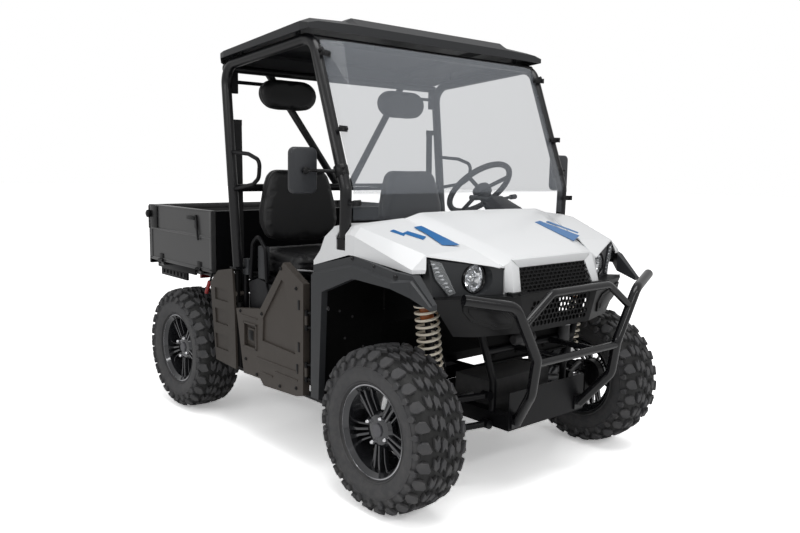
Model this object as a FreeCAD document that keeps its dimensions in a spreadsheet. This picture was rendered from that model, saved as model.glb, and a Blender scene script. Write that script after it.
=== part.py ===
import FreeCAD, Part
import math
import os
import re
import Sketcher

# A side by side utility vehicle with an open cab and a tipping drop-side bed.
# Units are millimetres. The front faces -Y, +X is the vehicle's left and +Z is up.
# The origin lies on the ground, under the middle of the overall length.
# Stations are distances behind the front axle; they become Y through front_y.

SIZES = {
    # Overall stations
    "front_overhang": 421,
    "door_front": 515,
    "door_length": 598,
    "panel_gap": 6,
    "quarter_length": 257,
    "wheel_room": 338,
    "bed_gap": 19,
    "bed_length": 770,
    "seat_gap": 0.3,
    "moving_gap": 6,
    "overrun": 20,
    # Wheels
    "tyre_radius": 330,
    "tyre_width": 235,
    "tyre_crown": 14,
    "rim_radius": 190,
    "rim_width": 200,
    "rim_wall": 8,
    "rim_drop": 24,
    "front_track": 1320,
    "rear_track": 1270,
    "spoke_face_inset": 34,
    "spoke_depth": 22,
    "spoke_width": 15,
    "spoke_split": 30,
    "hub_radius": 62,
    "hub_cap_radius": 30,
    "hub_cap_rise": 16,
    "hub_depth": 40,
    # Steering knuckles and carriers
    "kingpin_x": 575,
    "knuckle_radius": 70,
    "knuckle_thick": 36,
    "knuckle_height": 130,
    "joint_radius": 20,
    "stub_radius": 22,
    "ball_radius": 18,
    "ball_height": 30,
    "ear_thick": 16,
    # Suspension
    "arm_radius": 14,
    "arm_spread": 150,
    "lower_arm_height": 300,
    "upper_arm_height": 420,
    "coil_radius": 54,
    "damper_radius": 20,
    "shock_top_x": 500,
    "shock_top_height": 862,
    "shock_foot_x": 440,
    "shock_station": -10,
    "eye_radius": 14,
    "eye_length": 36,
    "bracket_thick": 8,
    "perch_drop": 290,
    "rear_shock_top_x": 400,
    "shaft_radius": 14,
    # Ladder frame
    "rail_x": 225,
    "rail_size": 50,
    "rail_height": 300,
    "frame_front": 250,
    "frame_tube": 16,
    "sill_x": 640,
    "tower_x": 372,
    "tower_height": 832,
    "fork_height": 605,
    "cowl_bar_height": 1010,
    "cowl_bar_station": 262,
    "post_x": 645,
    "post_station": 1135,
    "pillar_flange": 8,
    "pillar_flange_height": 1052,
    "rear_flange_height": 838,
    "rear_rail_height": 690,
    # Skid plate
    "skid_width": 500,
    "skid_rise": 150,
    "skid_thick": 5,
    # Bull bar
    "bar_radius": 21,
    "bar_bend": 60,
    "hoop_radius": 16,
    "bar_tip_x": 608,
    "bar_tip_height": 877,
    "bar_shoulder_x": 400,
    "bar_shoulder_height": 838,
    "bar_waist_x": 268,
    "bar_waist_height": 560,
    "bar_foot_x": 210,
    "hoop_half": 190,
    "hoop_height": 872,
    "hoop_foot_height": 770,
    "cross_tube_height": 605,
    # Floor and seats
    "floor_height": 352,
    "floor_thick": 16,
    "toe_station": 430,
    "toe_height": 700,
    "tub_wall": 6,
    "tunnel_half": 95,
    "tunnel_height": 90,
    "seat_base_front": 700,
    "seat_base_half": 625,
    "seat_base_top": 812,
    "seat_x": 380,
    "seat_width": 490,
    "cushion_depth": 430,
    "cushion_thick": 125,
    "back_height": 400,
    "back_thick": 95,
    "back_lean": 40,
    "headrest_width": 366,
    "headrest_height": 180,
    "headrest_level": 1690,
    # Body panels
    "panel_thick": 5,
    "flare_inner": 704,
    "flare_outer": 735,
    "flare_nose_x": 660,
    "flare_nose_rise": 10,
    "body_half": 740,
    "flare_back": 440,
    "flare_foot": 359,
    "flare_top": 1010,
    "flare_rear_top": 930,
    "flare_step": 42,
    "flare_ledge": 12,
    "side_panel_top_back": 343,
    "flare_front": 236,
    "arch_top": 906,
    "arch_back": 384,
    "hood_rear": 165,
    "hood_hinge_x": 315,
    "hood_hinge_station": 172,
    "hood_hinge_height": 1130,
    "hood_hinge_radius": 6,
    "hood_rear_half": 460,
    "hood_nose_half": 300,
    "hood_nose": 245,
    "hood_rear_height": 1146,
    "hood_nose_height": 978,
    "side_panel_back": 440,
    "cowl_rear_top": 1100,
    "cowl_shoulder_x": 690,
    "wall_x": 722,
    "wing_corner_x": 673,
    "wing_corner_height": 952,
    "shoulder_height": 1122,
    "lamp_corner_x": 604,
    "lamp_corner_ahead": 122,
    "lamp_corner_height": 1020,
    # Lamps and grilles
    "lamp_x": 401,
    "lamp_ahead": 178,
    "lamp_height": 922,
    "lamp_radius": 62,
    "lamp_depth": 80,
    "grille_height": 78,
    "grille_thick": 8,
    "grille_cell": 19,
    "grille_web": 5,
    "grille_border": 7,
    "coil_wire": 6,
    "coil_turns": 8,
    "door_recess": 9,
    "quarter_recess": 8,
    "lower_grille_width": 400,
    "lower_grille_height": 130,
    "lower_grille_level": 705,
    "fascia_ahead": 300,
    "fascia_half": 620,
    "fascia_wing_ahead": 170,
    "fascia_step": 60,
    "fascia_top": 856,
    # Doors and quarter panels
    "door_x": 690,
    "door_thick": 34,
    "door_foot": 338,
    "door_height": 578,
    "door_hinge_inset": 12,
    "door_hinge_lead": 8,
    "door_hinge_radius": 8,
    "door_hinge_length": 40,
    "door_hinge_low": 450,
    "door_hinge_high": 680,
    "quarter_foot": 332,
    "quarter_height": 502,
    # Protective structure
    "cage_radius": 24,
    "cage_x": 700,
    "cage_bend": 90,
    "pillar_kink_height": 1252,
    "pillar_foot_station": 253,
    "pillar_kink_station": 249,
    "cage_front_station": 480,
    "cage_front_top": 1872,
    "cage_rear_station": 1216,
    "cage_rear_top": 1812,
    "rear_knee_station": 1146,
    "rear_knee_height": 1150,
    "rear_foot_station": 1112,
    "crossbar_height": 1228,
    "brace_radius": 19,
    "brace_top_x": 450,
    "loop_high": 465,
    "loop_low": 284,
    "loop_front": 903,
    "hip_loop_back": 1055,
    "hip_loop_front": 908,
    "hip_loop_top": 1008,
    "brace_setback": 25,
    "headrest_front": 1120,
    "headrest_thick": 75,
    "headrest_arm_height": 1738,
    "rest_plate_half": 55,
    "rest_arm_radius": 9,
    # Roof
    "roof_half": 748,
    "roof_thick": 5,
    "roof_corner": 130,
    "roof_brow_top": 1958,
    "roof_hump": 20,
    "roof_hump_half": 480,
    "roof_side_drop": 28,
    "roof_band": 38,
    "roof_rear_top": 1898,
    "roof_lip_height": 1810,
    "roof_notch_half": 225,
    "roof_front": 454,
    "roof_top": 1978,
    "roof_tail": 1275,
    "roof_tail_height": 1761,
    # Windshield
    "pane_thick": 5,
    "pane_half": 735,
    "pane_kink_station": 190,
    "pane_kink_height": 1259,
    "pane_top_station": 428,
    "pane_top_height": 1862,
    "pane_foot_height": 1128,
    "pane_lug_radius": 8,
    "pane_lug_low": 1200,
    "pane_lug_mid": 1494,
    "pane_lug_high": 1818,
    # Dash and steering
    "dash_front": 205,
    "dash_back": 365,
    "dash_brow": 90,
    "dash_top": 1108,
    "dash_foot": 720,
    "steer_x": 380,
    "steer_station": 530,
    "steer_height": 1240,
    "steer_radius": 176,
    "steer_grip": 15,
    "steer_tilt": 45,
    "column_radius": 30,
    "column_length": 190,
    # Mirrors
    "mirror_x": 825,
    "mirror_station": 352,
    "mirror_width": 130,
    "mirror_height": 190,
    "mirror_depth": 40,
    "mirror_level": 1325,
    "mirror_arm_radius": 9,
    "mirror_arm_station": 278,
    # Bed
    "bed_half": 690,
    "bed_wall": 22,
    "bed_floor_level": 780,
    "bed_floor_thick": 20,
    "bed_side_height": 300,
    "bed_rail": 40,
    "bed_hinge_inset": 60,
    "bed_ear_x": 442,
    "bed_ear_thick": 12,
    "bed_ear_half": 20,
    "hinge_radius": 7,
    "hinge_drop": 17,
    "hinge_length": 60,
    # Heavy blocks
    "motor_length": 330,
    "motor_height": 260,
    "battery_length": 400,
    "battery_width": 760,
    "battery_height": 300,
    # Hitch, belts and tail lamps
    "hitch_half": 35,
    "hitch_thick": 10,
    "hitch_hole": 11,
    "hitch_length": 55,
    "hitch_plate_half": 60,
    "belt_width": 46,
    "belt_thick": 2,
    "belt_anchor_height": 1545,
    "lamp_box_x": 330,
    "lamp_box_half": 55,
    "lamp_box_height": 50,
}

# Sizes that follow from the driving ones.
PLACES = {
    "front_y": "(front_overhang - bed_back)/2",
    "rear_axle": "door_front + door_length + panel_gap + quarter_length + wheel_room + panel_gap",
    "door_back": "door_front + door_length",
    "quarter_front": "door_back + panel_gap",
    "quarter_back": "quarter_front + quarter_length",
    "bed_front": "quarter_back + bed_gap",
    "bed_back": "bed_front + bed_length",
    "axle_height": "tyre_radius",
    "front_wheel_x": "front_track/2",
    "rear_wheel_x": "rear_track/2",
    "nose": "-front_overhang + bar_radius",
    "floor_top": "floor_height + floor_thick",
    "seat_top": "seat_base_top + cushion_thick",
    "seat_back_station": "seat_base_front + cushion_depth",
    "bed_deck": "bed_floor_level + bed_floor_thick",
    "bed_hinge_station": "bed_back - bed_hinge_inset",
    "bed_hinge_height": "rear_rail_height",
    "rear_shock_top": "rear_rail_height - frame_tube - seat_gap - eye_radius",
    "rail_top": "rail_height + rail_size",
    "rail_side": "rail_x + rail_size/2",
    "arm_pivot_x": "rail_side + arm_radius*1.3 + seat_gap",
    "flare_peak": "flare_top - panel_thick*3",
    "door_hinge_x": "door_x + door_thick - door_hinge_inset",
    "door_hinge_station": "door_front - door_hinge_lead",
    "crossbar_station": "rear_knee_station - (rear_knee_height - crossbar_height)*0.2",
    "headrest_back": "headrest_front + headrest_thick",
}

WORD = re.compile(r"[a-z][a-z0-9_]*")

doc = FreeCAD.newDocument("Utility")
sheet = doc.addObject("Spreadsheet::Sheet", "Sizes")
for row, (name, amount) in enumerate(SIZES.items(), start=1):
    sheet.set(f"A{row}", name)
    sheet.set(f"B{row}", str(amount))
    sheet.setAlias(f"B{row}", name)
doc.recompute()

PARTS = []


def bound(text):
    """The expression with each size name turned into its cell of the sheet."""
    def swap(match):
        word = match.group(0)
        if word in PLACES:
            return "(" + bound(PLACES[word]) + ")"
        if word in SIZES:
            return "Sizes." + word
        return word
    return WORD.sub(swap, str(text))


def size(text):
    """The value of an expression of size names."""
    return float(sheet.evalExpression(bound(text)))


def spot(x, station, height):
    """A point given by its distance from the middle, its station and its height."""
    return FreeCAD.Vector(size(x), size(station), size(height))


def seat_in_frame(part):
    """Place a sub-part, drawn in stations, in the vehicle's frame."""
    part.setExpression("Placement.Base.y", bound("front_y"))
    PARTS.append(part)
    return part


def new_body(label):
    part = doc.addObject("PartDesign::Body", label)
    part.Label = label
    return seat_in_frame(part)


def shape_part(label, shape):
    """A sub-part whose shape comes from curves that no sketch plane holds."""
    part = doc.addObject("Part::Feature", label)
    part.Label = label
    part.Shape = shape
    return seat_in_frame(part)


def origin_item(part, role):
    return next(item for item in part.Origin.OriginFeatures if item.Role == role)


def new_sketch(part, role, name, offset="0"):
    drawing = part.newObject("Sketcher::SketchObject", name)
    drawing.AttachmentSupport = [(origin_item(part, role), "")]
    drawing.MapMode = "FlatFace"
    drawing.setExpression("AttachmentOffset.Base.z", bound(offset))
    return drawing


def outline(part, role, name, points, offset="0"):
    """A closed sketch of straight lines through points given as size expressions."""
    drawing = new_sketch(part, role, name, offset)
    places = [FreeCAD.Vector(size(across), size(up), 0) for across, up in points]
    for start, end in zip(places, places[1:] + places[:1]):
        drawing.addGeometry(Part.LineSegment(start, end), False)
    for index, (across, up) in enumerate(points):
        joint = Sketcher.Constraint("Coincident", index, 1, (index - 1) % len(points), 2)
        drawing.addConstraint(joint)
        for kind, text, value in (("DistanceX", across, places[index].x), ("DistanceY", up, places[index].y)):
            number = drawing.addConstraint(Sketcher.Constraint(kind, -1, 1, index, 1, value))
            drawing.setExpression(f"Constraints[{number}]", bound(text))
    return drawing


def ring(part, role, name, centre, radius, offset="0"):
    """A sketch of one circle."""
    drawing = new_sketch(part, role, name, offset)
    across, up = centre
    middle = FreeCAD.Vector(size(across), size(up), 0)
    drawing.addGeometry(Part.Circle(middle, FreeCAD.Vector(0, 0, 1), size(radius)), False)
    for kind, text, value in (("DistanceX", across, middle.x), ("DistanceY", up, middle.y)):
        number = drawing.addConstraint(Sketcher.Constraint(kind, -1, 1, 0, 3, value))
        drawing.setExpression(f"Constraints[{number}]", bound(text))
    number = drawing.addConstraint(Sketcher.Constraint("Radius", 0, size(radius)))
    drawing.setExpression(f"Constraints[{number}]", bound(radius))
    return drawing


def pad(part, drawing, length, name, backwards=False, midplane=False):
    feature = part.newObject("PartDesign::Pad", name)
    feature.Profile = drawing
    feature.Midplane = midplane
    feature.Reversed = backwards
    feature.setExpression("Length", bound(length))
    part.Tip = feature
    return feature


def pocket(part, drawing, length, name, backwards=False, midplane=False):
    feature = part.newObject("PartDesign::Pocket", name)
    feature.Profile = drawing
    feature.Midplane = midplane
    feature.Reversed = backwards
    feature.setExpression("Length", bound(length))
    part.Tip = feature
    return feature


def revolve(part, drawing, name, axis="H_Axis"):
    feature = part.newObject("PartDesign::Revolution", name)
    feature.Profile = drawing
    feature.ReferenceAxis = (drawing, [axis])
    feature.Angle = 360
    part.Tip = feature
    return feature


def loft(part, drawings, name, ruled=True):
    feature = part.newObject("PartDesign::AdditiveLoft", name)
    feature.Profile = drawings[0]
    feature.Sections = drawings[1:]
    feature.Ruled = ruled
    part.Tip = feature
    return feature


def mirror(part, features, name="Mirror"):
    """The same features again on the other side of the vehicle."""
    feature = part.newObject("PartDesign::Mirrored", name)
    feature.Originals = features
    feature.MirrorPlane = (origin_item(part, "YZ_Plane"), [""])
    part.Tip = feature
    return feature


def rounded(part, base, test, radius, name):
    """A fillet on the edges of a feature that pass a test of their two ends."""
    doc.recompute()
    edges = []
    for number, edge in enumerate(base.Shape.Edges, start=1):
        ends = [vertex.Point for vertex in edge.Vertexes]
        if len(ends) == 2 and test(ends[0], ends[1]):
            edges.append(f"Edge{number}")
    feature = part.newObject("PartDesign::Fillet", name)
    feature.Base = (base, edges)
    feature.setExpression("Radius", bound(radius))
    part.Tip = feature
    return feature


def along_x(start, end):
    """True for an edge that runs straight across the vehicle."""
    run = end - start
    return abs(run.x) > abs(run.y) + abs(run.z)


def side_name(side):
    return "left" if side > 0 else "right"


def bent_path(points, bend):
    """Straight runs through points, joined by arcs of one radius or of what fits."""
    share_of_run = 0.45
    edges = []
    start = points[0]
    for before, corner, after in zip(points, points[1:], points[2:]):
        into = (corner - before).normalize()
        away = (after - corner).normalize()
        half_turn = into.getAngle(away)/2
        reach = min(bend*math.tan(half_turn), share_of_run*(corner - before).Length,
                    share_of_run*(after - corner).Length)
        radius = reach/math.tan(half_turn)
        first = corner - into*reach
        last = corner + away*reach
        inward = (away - into).normalize()
        middle = corner + inward*(radius/math.cos(half_turn) - radius)
        edges.append(Part.LineSegment(start, first).toShape())
        edges.append(Part.Arc(first, middle, last).toShape())
        start = last
    edges.append(Part.LineSegment(start, points[-1]).toShape())
    return Part.Wire(edges)


def tube(points, radius, bend=None):
    """A round bar bent along points."""
    path = bent_path(points, size(bend) if bend else 0) if len(points) > 2 else None
    if path is None:
        run = points[1] - points[0]
        return Part.makeCylinder(radius, run.Length, points[0], run)
    section = Part.Wire(Part.makeCircle(radius, points[0], points[1] - points[0]))
    return path.makePipeShell([section], True, False)


def joined(shapes):
    """Several welded pieces as one solid."""
    return shapes[0].multiFuse(shapes[1:]).removeSplitter()


def opposite(shape):
    """The same shape on the other side of the vehicle."""
    return shape.mirror(FreeCAD.Vector(0, 0, 0), FreeCAD.Vector(1, 0, 0))


def both(shape):
    return [shape, opposite(shape)]


def block(low, high):
    """A box from its low corner to its high one."""
    run = high - low
    return Part.makeBox(run.x, run.y, run.z, low)


def make_tyre(label, x, station, side):
    """A revolved tyre with a rounded crown, open inside for its rim."""
    part = new_body(label)
    half = "tyre_width/2"
    bead = "rim_radius + seat_gap"
    bead_half = "rim_width/2 - rim_wall"
    shoulder = "tyre_radius - tyre_crown*2"
    profile = outline(part, "XY_Plane", "Section", [
        (f"-({bead_half})", bead),
        (f"-({bead_half})", "rim_radius + rim_wall*1.5"),
        (f"-({half})", "rim_radius + (tyre_radius - rim_radius)*0.4"),
        (f"-({half})", shoulder),
        (f"-({half}) + tyre_crown*2", "tyre_radius"),
        (f"{half} - tyre_crown*2", "tyre_radius"),
        (half, shoulder),
        (half, "rim_radius + (tyre_radius - rim_radius)*0.4"),
        (bead_half, "rim_radius + rim_wall*1.5"),
        (bead_half, bead),
    ])
    revolve(part, profile, "Carcass")
    place_wheel(part, x, station, side)


def place_wheel(part, x, station, side):
    """Stand a wheel piece, drawn about X, at its axle with its face outward."""
    turn = 0 if side > 0 else 180
    part.Placement = FreeCAD.Placement(FreeCAD.Vector(0, 0, 0), FreeCAD.Rotation(FreeCAD.Vector(0, 0, 1), turn))
    part.setExpression("Placement.Base.x", bound(f"{x}*{side}"))
    part.setExpression("Placement.Base.y", bound(f"front_y + {station}"))
    part.setExpression("Placement.Base.z", bound("axle_height"))


def make_rim(label, x, station, side):
    """A rim with a dropped well, a hub and five split spokes."""
    part = new_body(label)
    half = "rim_width/2"
    well = "rim_radius - rim_drop"
    profile = outline(part, "XY_Plane", "Barrel", [
        (f"-({half})", "rim_radius - rim_wall"),
        (f"-({half})", "rim_radius + rim_wall"),
        (f"-({half}) + rim_wall - seat_gap", "rim_radius + rim_wall"),
        (f"-({half}) + rim_wall - seat_gap", "rim_radius"),
        (f"{half} - rim_wall + seat_gap", "rim_radius"),
        (f"{half} - rim_wall + seat_gap", "rim_radius + rim_wall"),
        (half, "rim_radius + rim_wall"),
        (half, "rim_radius - rim_wall"),
        (f"{half} - rim_wall*2", "rim_radius - rim_wall"),
        (f"{half} - rim_drop*2", well),
        (f"-({half}) + rim_drop*2", well),
        (f"-({half}) + rim_wall*2", "rim_radius - rim_wall"),
    ])
    revolve(part, profile, "Ring")
    face = f"{half} - spoke_face_inset"
    hub = outline(part, "XY_Plane", "HubSection", [
        (f"{face} - hub_depth", "0"),
        (f"{face} - hub_depth", "hub_radius"),
        (face, "hub_radius"),
        (face, "hub_cap_radius"),
        (f"{face} + hub_cap_rise", "hub_cap_radius*0.8"),
        (f"{face} + hub_cap_rise", "0"),
    ])
    hub_solid = revolve(part, hub, "Hub")
    reach = "rim_radius - rim_drop*0.8"
    foot = "hub_radius*0.7"
    spokes = []
    for hand in (1, -1):
        strip = outline(part, "YZ_Plane", f"Spoke{'A' if hand > 0 else 'B'}", [
            (f"{hand}*spoke_width*0.2", foot),
            (f"{hand}*(spoke_width*0.2 + spoke_width)", foot),
            (f"{hand}*(spoke_split/2 + spoke_width)", reach),
            (f"{hand}*spoke_split/2", reach),
        ], face)
        spokes.append(pad(part, strip, "spoke_depth", f"Arm{'A' if hand > 0 else 'B'}", backwards=True))
    doc.recompute()
    star = part.newObject("PartDesign::PolarPattern", "Star")
    star.Originals = spokes
    star.Axis = (origin_item(part, "X_Axis"), [""])
    star.Angle = 360
    star.Occurrences = 5
    part.Tip = star
    place_wheel(part, x, station, side)


def make_wheels():
    for side in (1, -1):
        hand = side_name(side)
        make_tyre(f"tyre_front_{hand}", "front_wheel_x", "0", side)
        make_rim(f"rim_front_{hand}", "front_wheel_x", "0", side)
        make_tyre(f"tyre_rear_{hand}", "rear_wheel_x", "(rear_axle)", side)
        make_rim(f"rim_rear_{hand}", "rear_wheel_x", "(rear_axle)", side)


def upright(pivot_x, hub_x, station):
    """A knuckle or carrier: two ears for the ball joints, a post outside them and a hub plate with its stub."""
    level = size("axle_height")
    face = size(hub_x)
    thick = size("knuckle_thick")
    outward = FreeCAD.Vector(1, 0, 0)
    upward = FreeCAD.Vector(0, 0, 1)
    plate = Part.makeCylinder(size("knuckle_radius"), thick, FreeCAD.Vector(face - thick, size(station), level), outward)
    stub = Part.makeCylinder(size("stub_radius"), size("moving_gap - seat_gap"),
                             FreeCAD.Vector(face, size(station), level), outward)
    post_x = f"{pivot_x} + ball_radius + moving_gap"
    foot = "axle_height - knuckle_height/2 - ball_height/2 - seat_gap - ear_thick"
    head = "axle_height + knuckle_height/2 - ball_height/2 - seat_gap"
    parts = [plate, stub, block(spot(post_x, f"{station} - joint_radius", foot),
                                spot(f"{hub_x} - knuckle_thick/2", f"{station} + joint_radius", head))]
    for ear in (foot, f"{head} - ear_thick"):
        parts.append(Part.makeCylinder(size("ball_radius"), size("ear_thick"), spot(pivot_x, station, ear), upward))
        parts.append(block(spot(pivot_x, f"{station} - ball_radius", ear),
                           spot(f"{post_x} + joint_radius", f"{station} + ball_radius", f"{ear} + ear_thick")))
    return joined(parts)


def make_uprights():
    hub_face = "front_wheel_x + rim_width/2 - spoke_face_inset - hub_depth - moving_gap"
    knuckle = upright("kingpin_x", hub_face, "0")
    shape_part("knuckle_left", knuckle)
    shape_part("knuckle_right", opposite(knuckle))
    rear_face = "rear_wheel_x + rim_width/2 - spoke_face_inset - hub_depth - moving_gap"
    carrier = upright("kingpin_x - front_wheel_x + rear_wheel_x", rear_face, "rear_axle")
    shape_part("rear_carriers", Part.makeCompound(both(carrier)))


def arm(inner_x, outer_x, station, height, outer_height, bridge):
    """A wishbone: two bars from the frame to the housing of a ball joint, with a bridge if a shock stands on it."""
    tip = spot(outer_x, station, outer_height)
    housing = spot("0", "0", "ball_height/2")
    bars = [Part.makeCylinder(size("ball_radius"), size("ball_height"), tip - housing, FreeCAD.Vector(0, 0, 1))]
    rests = []
    for end in (-1, 1):
        foot = spot(inner_x, f"{station} + {end}*arm_spread", height)
        bars.append(tube([foot, tip], size("arm_radius")))
        bars.append(Part.makeCylinder(size("arm_radius*1.3"), size("arm_radius*3"),
                                      foot - FreeCAD.Vector(0, size("arm_radius*1.5"), 0), FreeCAD.Vector(0, 1, 0)))
        share = (size("shock_foot_x") - foot.x)/(tip.x - foot.x)
        rests.append(foot + (tip - foot)*share)
    if bridge:
        bars.append(tube(rests, size("arm_radius*0.85")))
    return joined(bars), rests[0].z


def coil_spring(head, down, length):
    """A helical spring that hangs from head, one hexagonal wire swept along its helix."""
    wire, turns = size("coil_wire"), size("coil_turns")
    radius = size("coil_radius - coil_wire")
    helix = Part.makeHelix((length - wire*2)/turns, length - wire*2, radius)
    corners = [FreeCAD.Vector(radius + wire*math.sin(step*math.pi/3), 0, wire*math.cos(step*math.pi/3))
               for step in range(6)]
    section = Part.makePolygon(corners + corners[:1])
    spring = Part.Wire(helix.Edges).makePipeShell([section], True, True)
    spring.translate(FreeCAD.Vector(0, 0, wire))
    turn = FreeCAD.Rotation(FreeCAD.Vector(0, 0, 1), down)
    spring.Placement = FreeCAD.Placement(head, turn).multiply(spring.Placement)
    return spring


def make_suspension():
    arms = []
    shocks = []
    eye = size("eye_radius")
    for tip, station, shock_station, top_x, top_height in (
            ("kingpin_x", "0", "shock_station", "shock_top_x", "shock_top_height"),
            ("kingpin_x - front_wheel_x + rear_wheel_x", "rear_axle", "rear_axle", "rear_shock_top_x", "rear_shock_top")):
        lower, bare = arm("arm_pivot_x", tip, station, "lower_arm_height", "axle_height - knuckle_height/2", False)
        upper, rest = arm("arm_pivot_x", tip, station, "upper_arm_height", "axle_height + knuckle_height/2", True)
        arms += both(lower) + both(upper)
        foot = FreeCAD.Vector(size("shock_foot_x"), size(shock_station),
                              rest + size("arm_radius*0.85 + seat_gap") + eye)
        head = spot(top_x, shock_station, top_height)
        down = (foot - head).normalize()
        perch = head + down*size("coil_radius")
        coil_foot = foot - down*size("coil_radius*0.9")
        reach = perch + down*size("perch_drop")
        if reach.z < coil_foot.z:
            reach = coil_foot
        seat = down*size("eye_radius*0.5")
        shapes = [tube([perch - seat, perch], size("coil_radius")), tube([reach, reach + seat], size("coil_radius")),
                  tube([head, foot], size("damper_radius*0.8"))]
        for end in (head, foot):
            shapes.append(Part.makeCylinder(eye, size("eye_length"), end - spot("0", "eye_length/2", "0"),
                                            FreeCAD.Vector(0, 1, 0)))
        slack = down*size("seat_gap")
        shocks += both(joined(shapes)) + both(coil_spring(perch + slack, down, (reach - perch).Length - slack.Length*2))
    shape_part("suspension_arms", Part.makeCompound(arms))
    shape_part("shocks", Part.makeCompound(shocks))


def make_driveline():
    """The heavy blocks between the rails and the shafts that leave them."""
    half = "rail_x - rail_size/2 - seat_gap"
    level = "axle_height + rail_size"
    units = []
    shafts = []
    for station, length, height, outer in (
            ("0", "motor_length*0.6", "motor_height*0.6", "kingpin_x"),
            ("rear_axle", "motor_length", "motor_height", "kingpin_x - front_wheel_x + rear_wheel_x")):
        low = spot(f"-({half})", f"{station} - {length}/2", "rail_height")
        high = spot(half, f"{station} + {length}/2", f"rail_height + {height}")
        unit = block(low, high)
        units.append(unit)
        end = spot(outer, station, "axle_height")
        joint = Part.makeSphere(size("ball_radius + moving_gap - seat_gap"), end)
        start = spot(f"{half} + seat_gap", station, level)
        shaft = joined([tube([start, end], size("shaft_radius")), joint])
        shafts += both(shaft.cut(block(low - spot("0", "overrun", "0"), high + spot("seat_gap", "overrun", "0"))))
    shape_part("drive_units", Part.makeCompound(units))
    shape_part("half_shafts", Part.makeCompound(shafts))
    low = spot("-battery_width/2", "seat_base_front + tub_wall + seat_gap", "floor_top + seat_gap")
    shape_part("battery", block(low, low + spot("battery_width", "battery_length", "battery_height")))


def make_frame():
    """Ladder frame with outer sills and the posts under the rear pillars."""
    rail = size("rail_size")
    parts = []
    start = size("-frame_front")
    end = size("bed_back - bed_hinge_inset")
    for side in (1, -1):
        x = size(f"{side}*rail_x") - rail/2
        parts.append(Part.makeBox(rail, end - start, rail, FreeCAD.Vector(x, start, size("rail_height"))))
    for station in ("-frame_front", "toe_station", "door_back", "bed_hinge_station - rail_size"):
        low = spot("-rail_x", station, "rail_height")
        parts.append(block(low, low + spot("rail_x*2", "rail_size", "rail_size")))
    sill = size("frame_tube")
    level = "rail_height + frame_tube"
    for station in ("toe_station + rail_size/2", "door_back + rail_size/2"):
        parts.append(tube([spot("-sill_x", station, level), spot("sill_x", station, level)], sill))
    post = tube([spot("post_x", "post_station", level), spot("post_x", "post_station", "rear_flange_height")], sill)
    plate = block(spot("post_x - frame_tube", "rear_foot_station - cage_radius", "rear_flange_height"),
                  spot("cage_x + cage_radius", "post_station + frame_tube", "rear_flange_height + pillar_flange"))
    parts += both(post) + both(plate)
    for side in (1, -1):
        parts.append(tube([spot(f"{side}*sill_x", "toe_station", level),
                           spot(f"{side}*sill_x", "quarter_back", level)], sill))
    shape_part("main_frame", joined(parts))


def make_front_subframe():
    """Posts that carry the arms, upper rails over them, shock brackets and the cowl bar behind."""
    radius = size("frame_tube")
    parts = []
    base = "rail_top + seat_gap"
    bend_height = "upper_arm_height + arm_radius*4"
    for side in (1, -1):
        foot = f"{side}*(rail_side - frame_tube)"
        tower = f"{side}*tower_x"
        for end in (-1, 1):
            station = f"{end}*arm_spread"
            parts.append(tube([spot(foot, station, base), spot(foot, station, bend_height),
                               spot(tower, station, "tower_height")], radius, "cage_bend"))
        parts.append(tube([spot(tower, "-arm_spread - frame_tube", "tower_height"),
                           spot(tower, "cowl_bar_station", "tower_height"),
                           spot(tower, "cowl_bar_station", "cowl_bar_height")], radius, "cage_bend"))
        sill = f"{side}*sill_x"
        parts.append(tube([spot(sill, "cowl_bar_station", "cowl_bar_height"),
                           spot(sill, "toe_station", "cowl_bar_height - frame_tube*3"),
                           spot(sill, "toe_station", "rail_height + frame_tube*2 + seat_gap")],
                          radius, "cage_bend"))
    parts.append(tube([spot("-sill_x", "cowl_bar_station", "cowl_bar_height"),
                       spot("sill_x", "cowl_bar_station", "cowl_bar_height")], radius))
    for end in (-1, 1):
        parts.append(tube([spot("-tower_x", f"{end}*arm_spread", "tower_height"),
                           spot("tower_x", f"{end}*arm_spread", "tower_height")], radius))
    fork_x = f"rail_side - frame_tube + (tower_x - rail_side + frame_tube)*(fork_height - ({bend_height}))/(tower_height - ({bend_height}))"
    parts.append(tube([spot(f"-({fork_x})", "-arm_spread", "fork_height"), spot(fork_x, "-arm_spread", "fork_height")], radius))
    cheek = "eye_length/2 + seat_gap"
    reach = "shock_top_x + eye_radius"
    parts += both(block(spot("tower_x", f"shock_station - {cheek} - bracket_thick", "shock_top_height + eye_radius + seat_gap"),
                        spot(reach, f"shock_station + {cheek} + bracket_thick",
                             "shock_top_height + eye_radius + seat_gap + bracket_thick")))
    parts += both(block(spot("tower_x", f"shock_station - {cheek} - bracket_thick", "tower_height"),
                        spot("tower_x + bracket_thick", f"shock_station + {cheek} + bracket_thick",
                             "shock_top_height + eye_radius + seat_gap + bracket_thick")))
    for near, far in ((f"-{cheek} - bracket_thick", f"-({cheek})"), (cheek, f"{cheek} + bracket_thick")):
        parts += both(block(spot("tower_x", f"shock_station + {near}", "shock_top_height - eye_radius*2"),
                            spot(reach, f"shock_station + {far}", "shock_top_height + eye_radius + seat_gap + bracket_thick")))
    parts += both(block(spot("sill_x - frame_tube*0.6", "cowl_bar_station - frame_tube*0.6", "cowl_bar_height"),
                        spot("sill_x + frame_tube*0.6", "cowl_bar_station + frame_tube*0.6", "pillar_flange_height")))
    parts += both(block(spot("sill_x - frame_tube*0.6", "pillar_foot_station - cage_radius", "pillar_flange_height"),
                        spot("cage_x + cage_radius", "pillar_foot_station + cage_radius",
                             "pillar_flange_height + pillar_flange")))
    shape_part("front_subframe", joined(parts))


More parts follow.
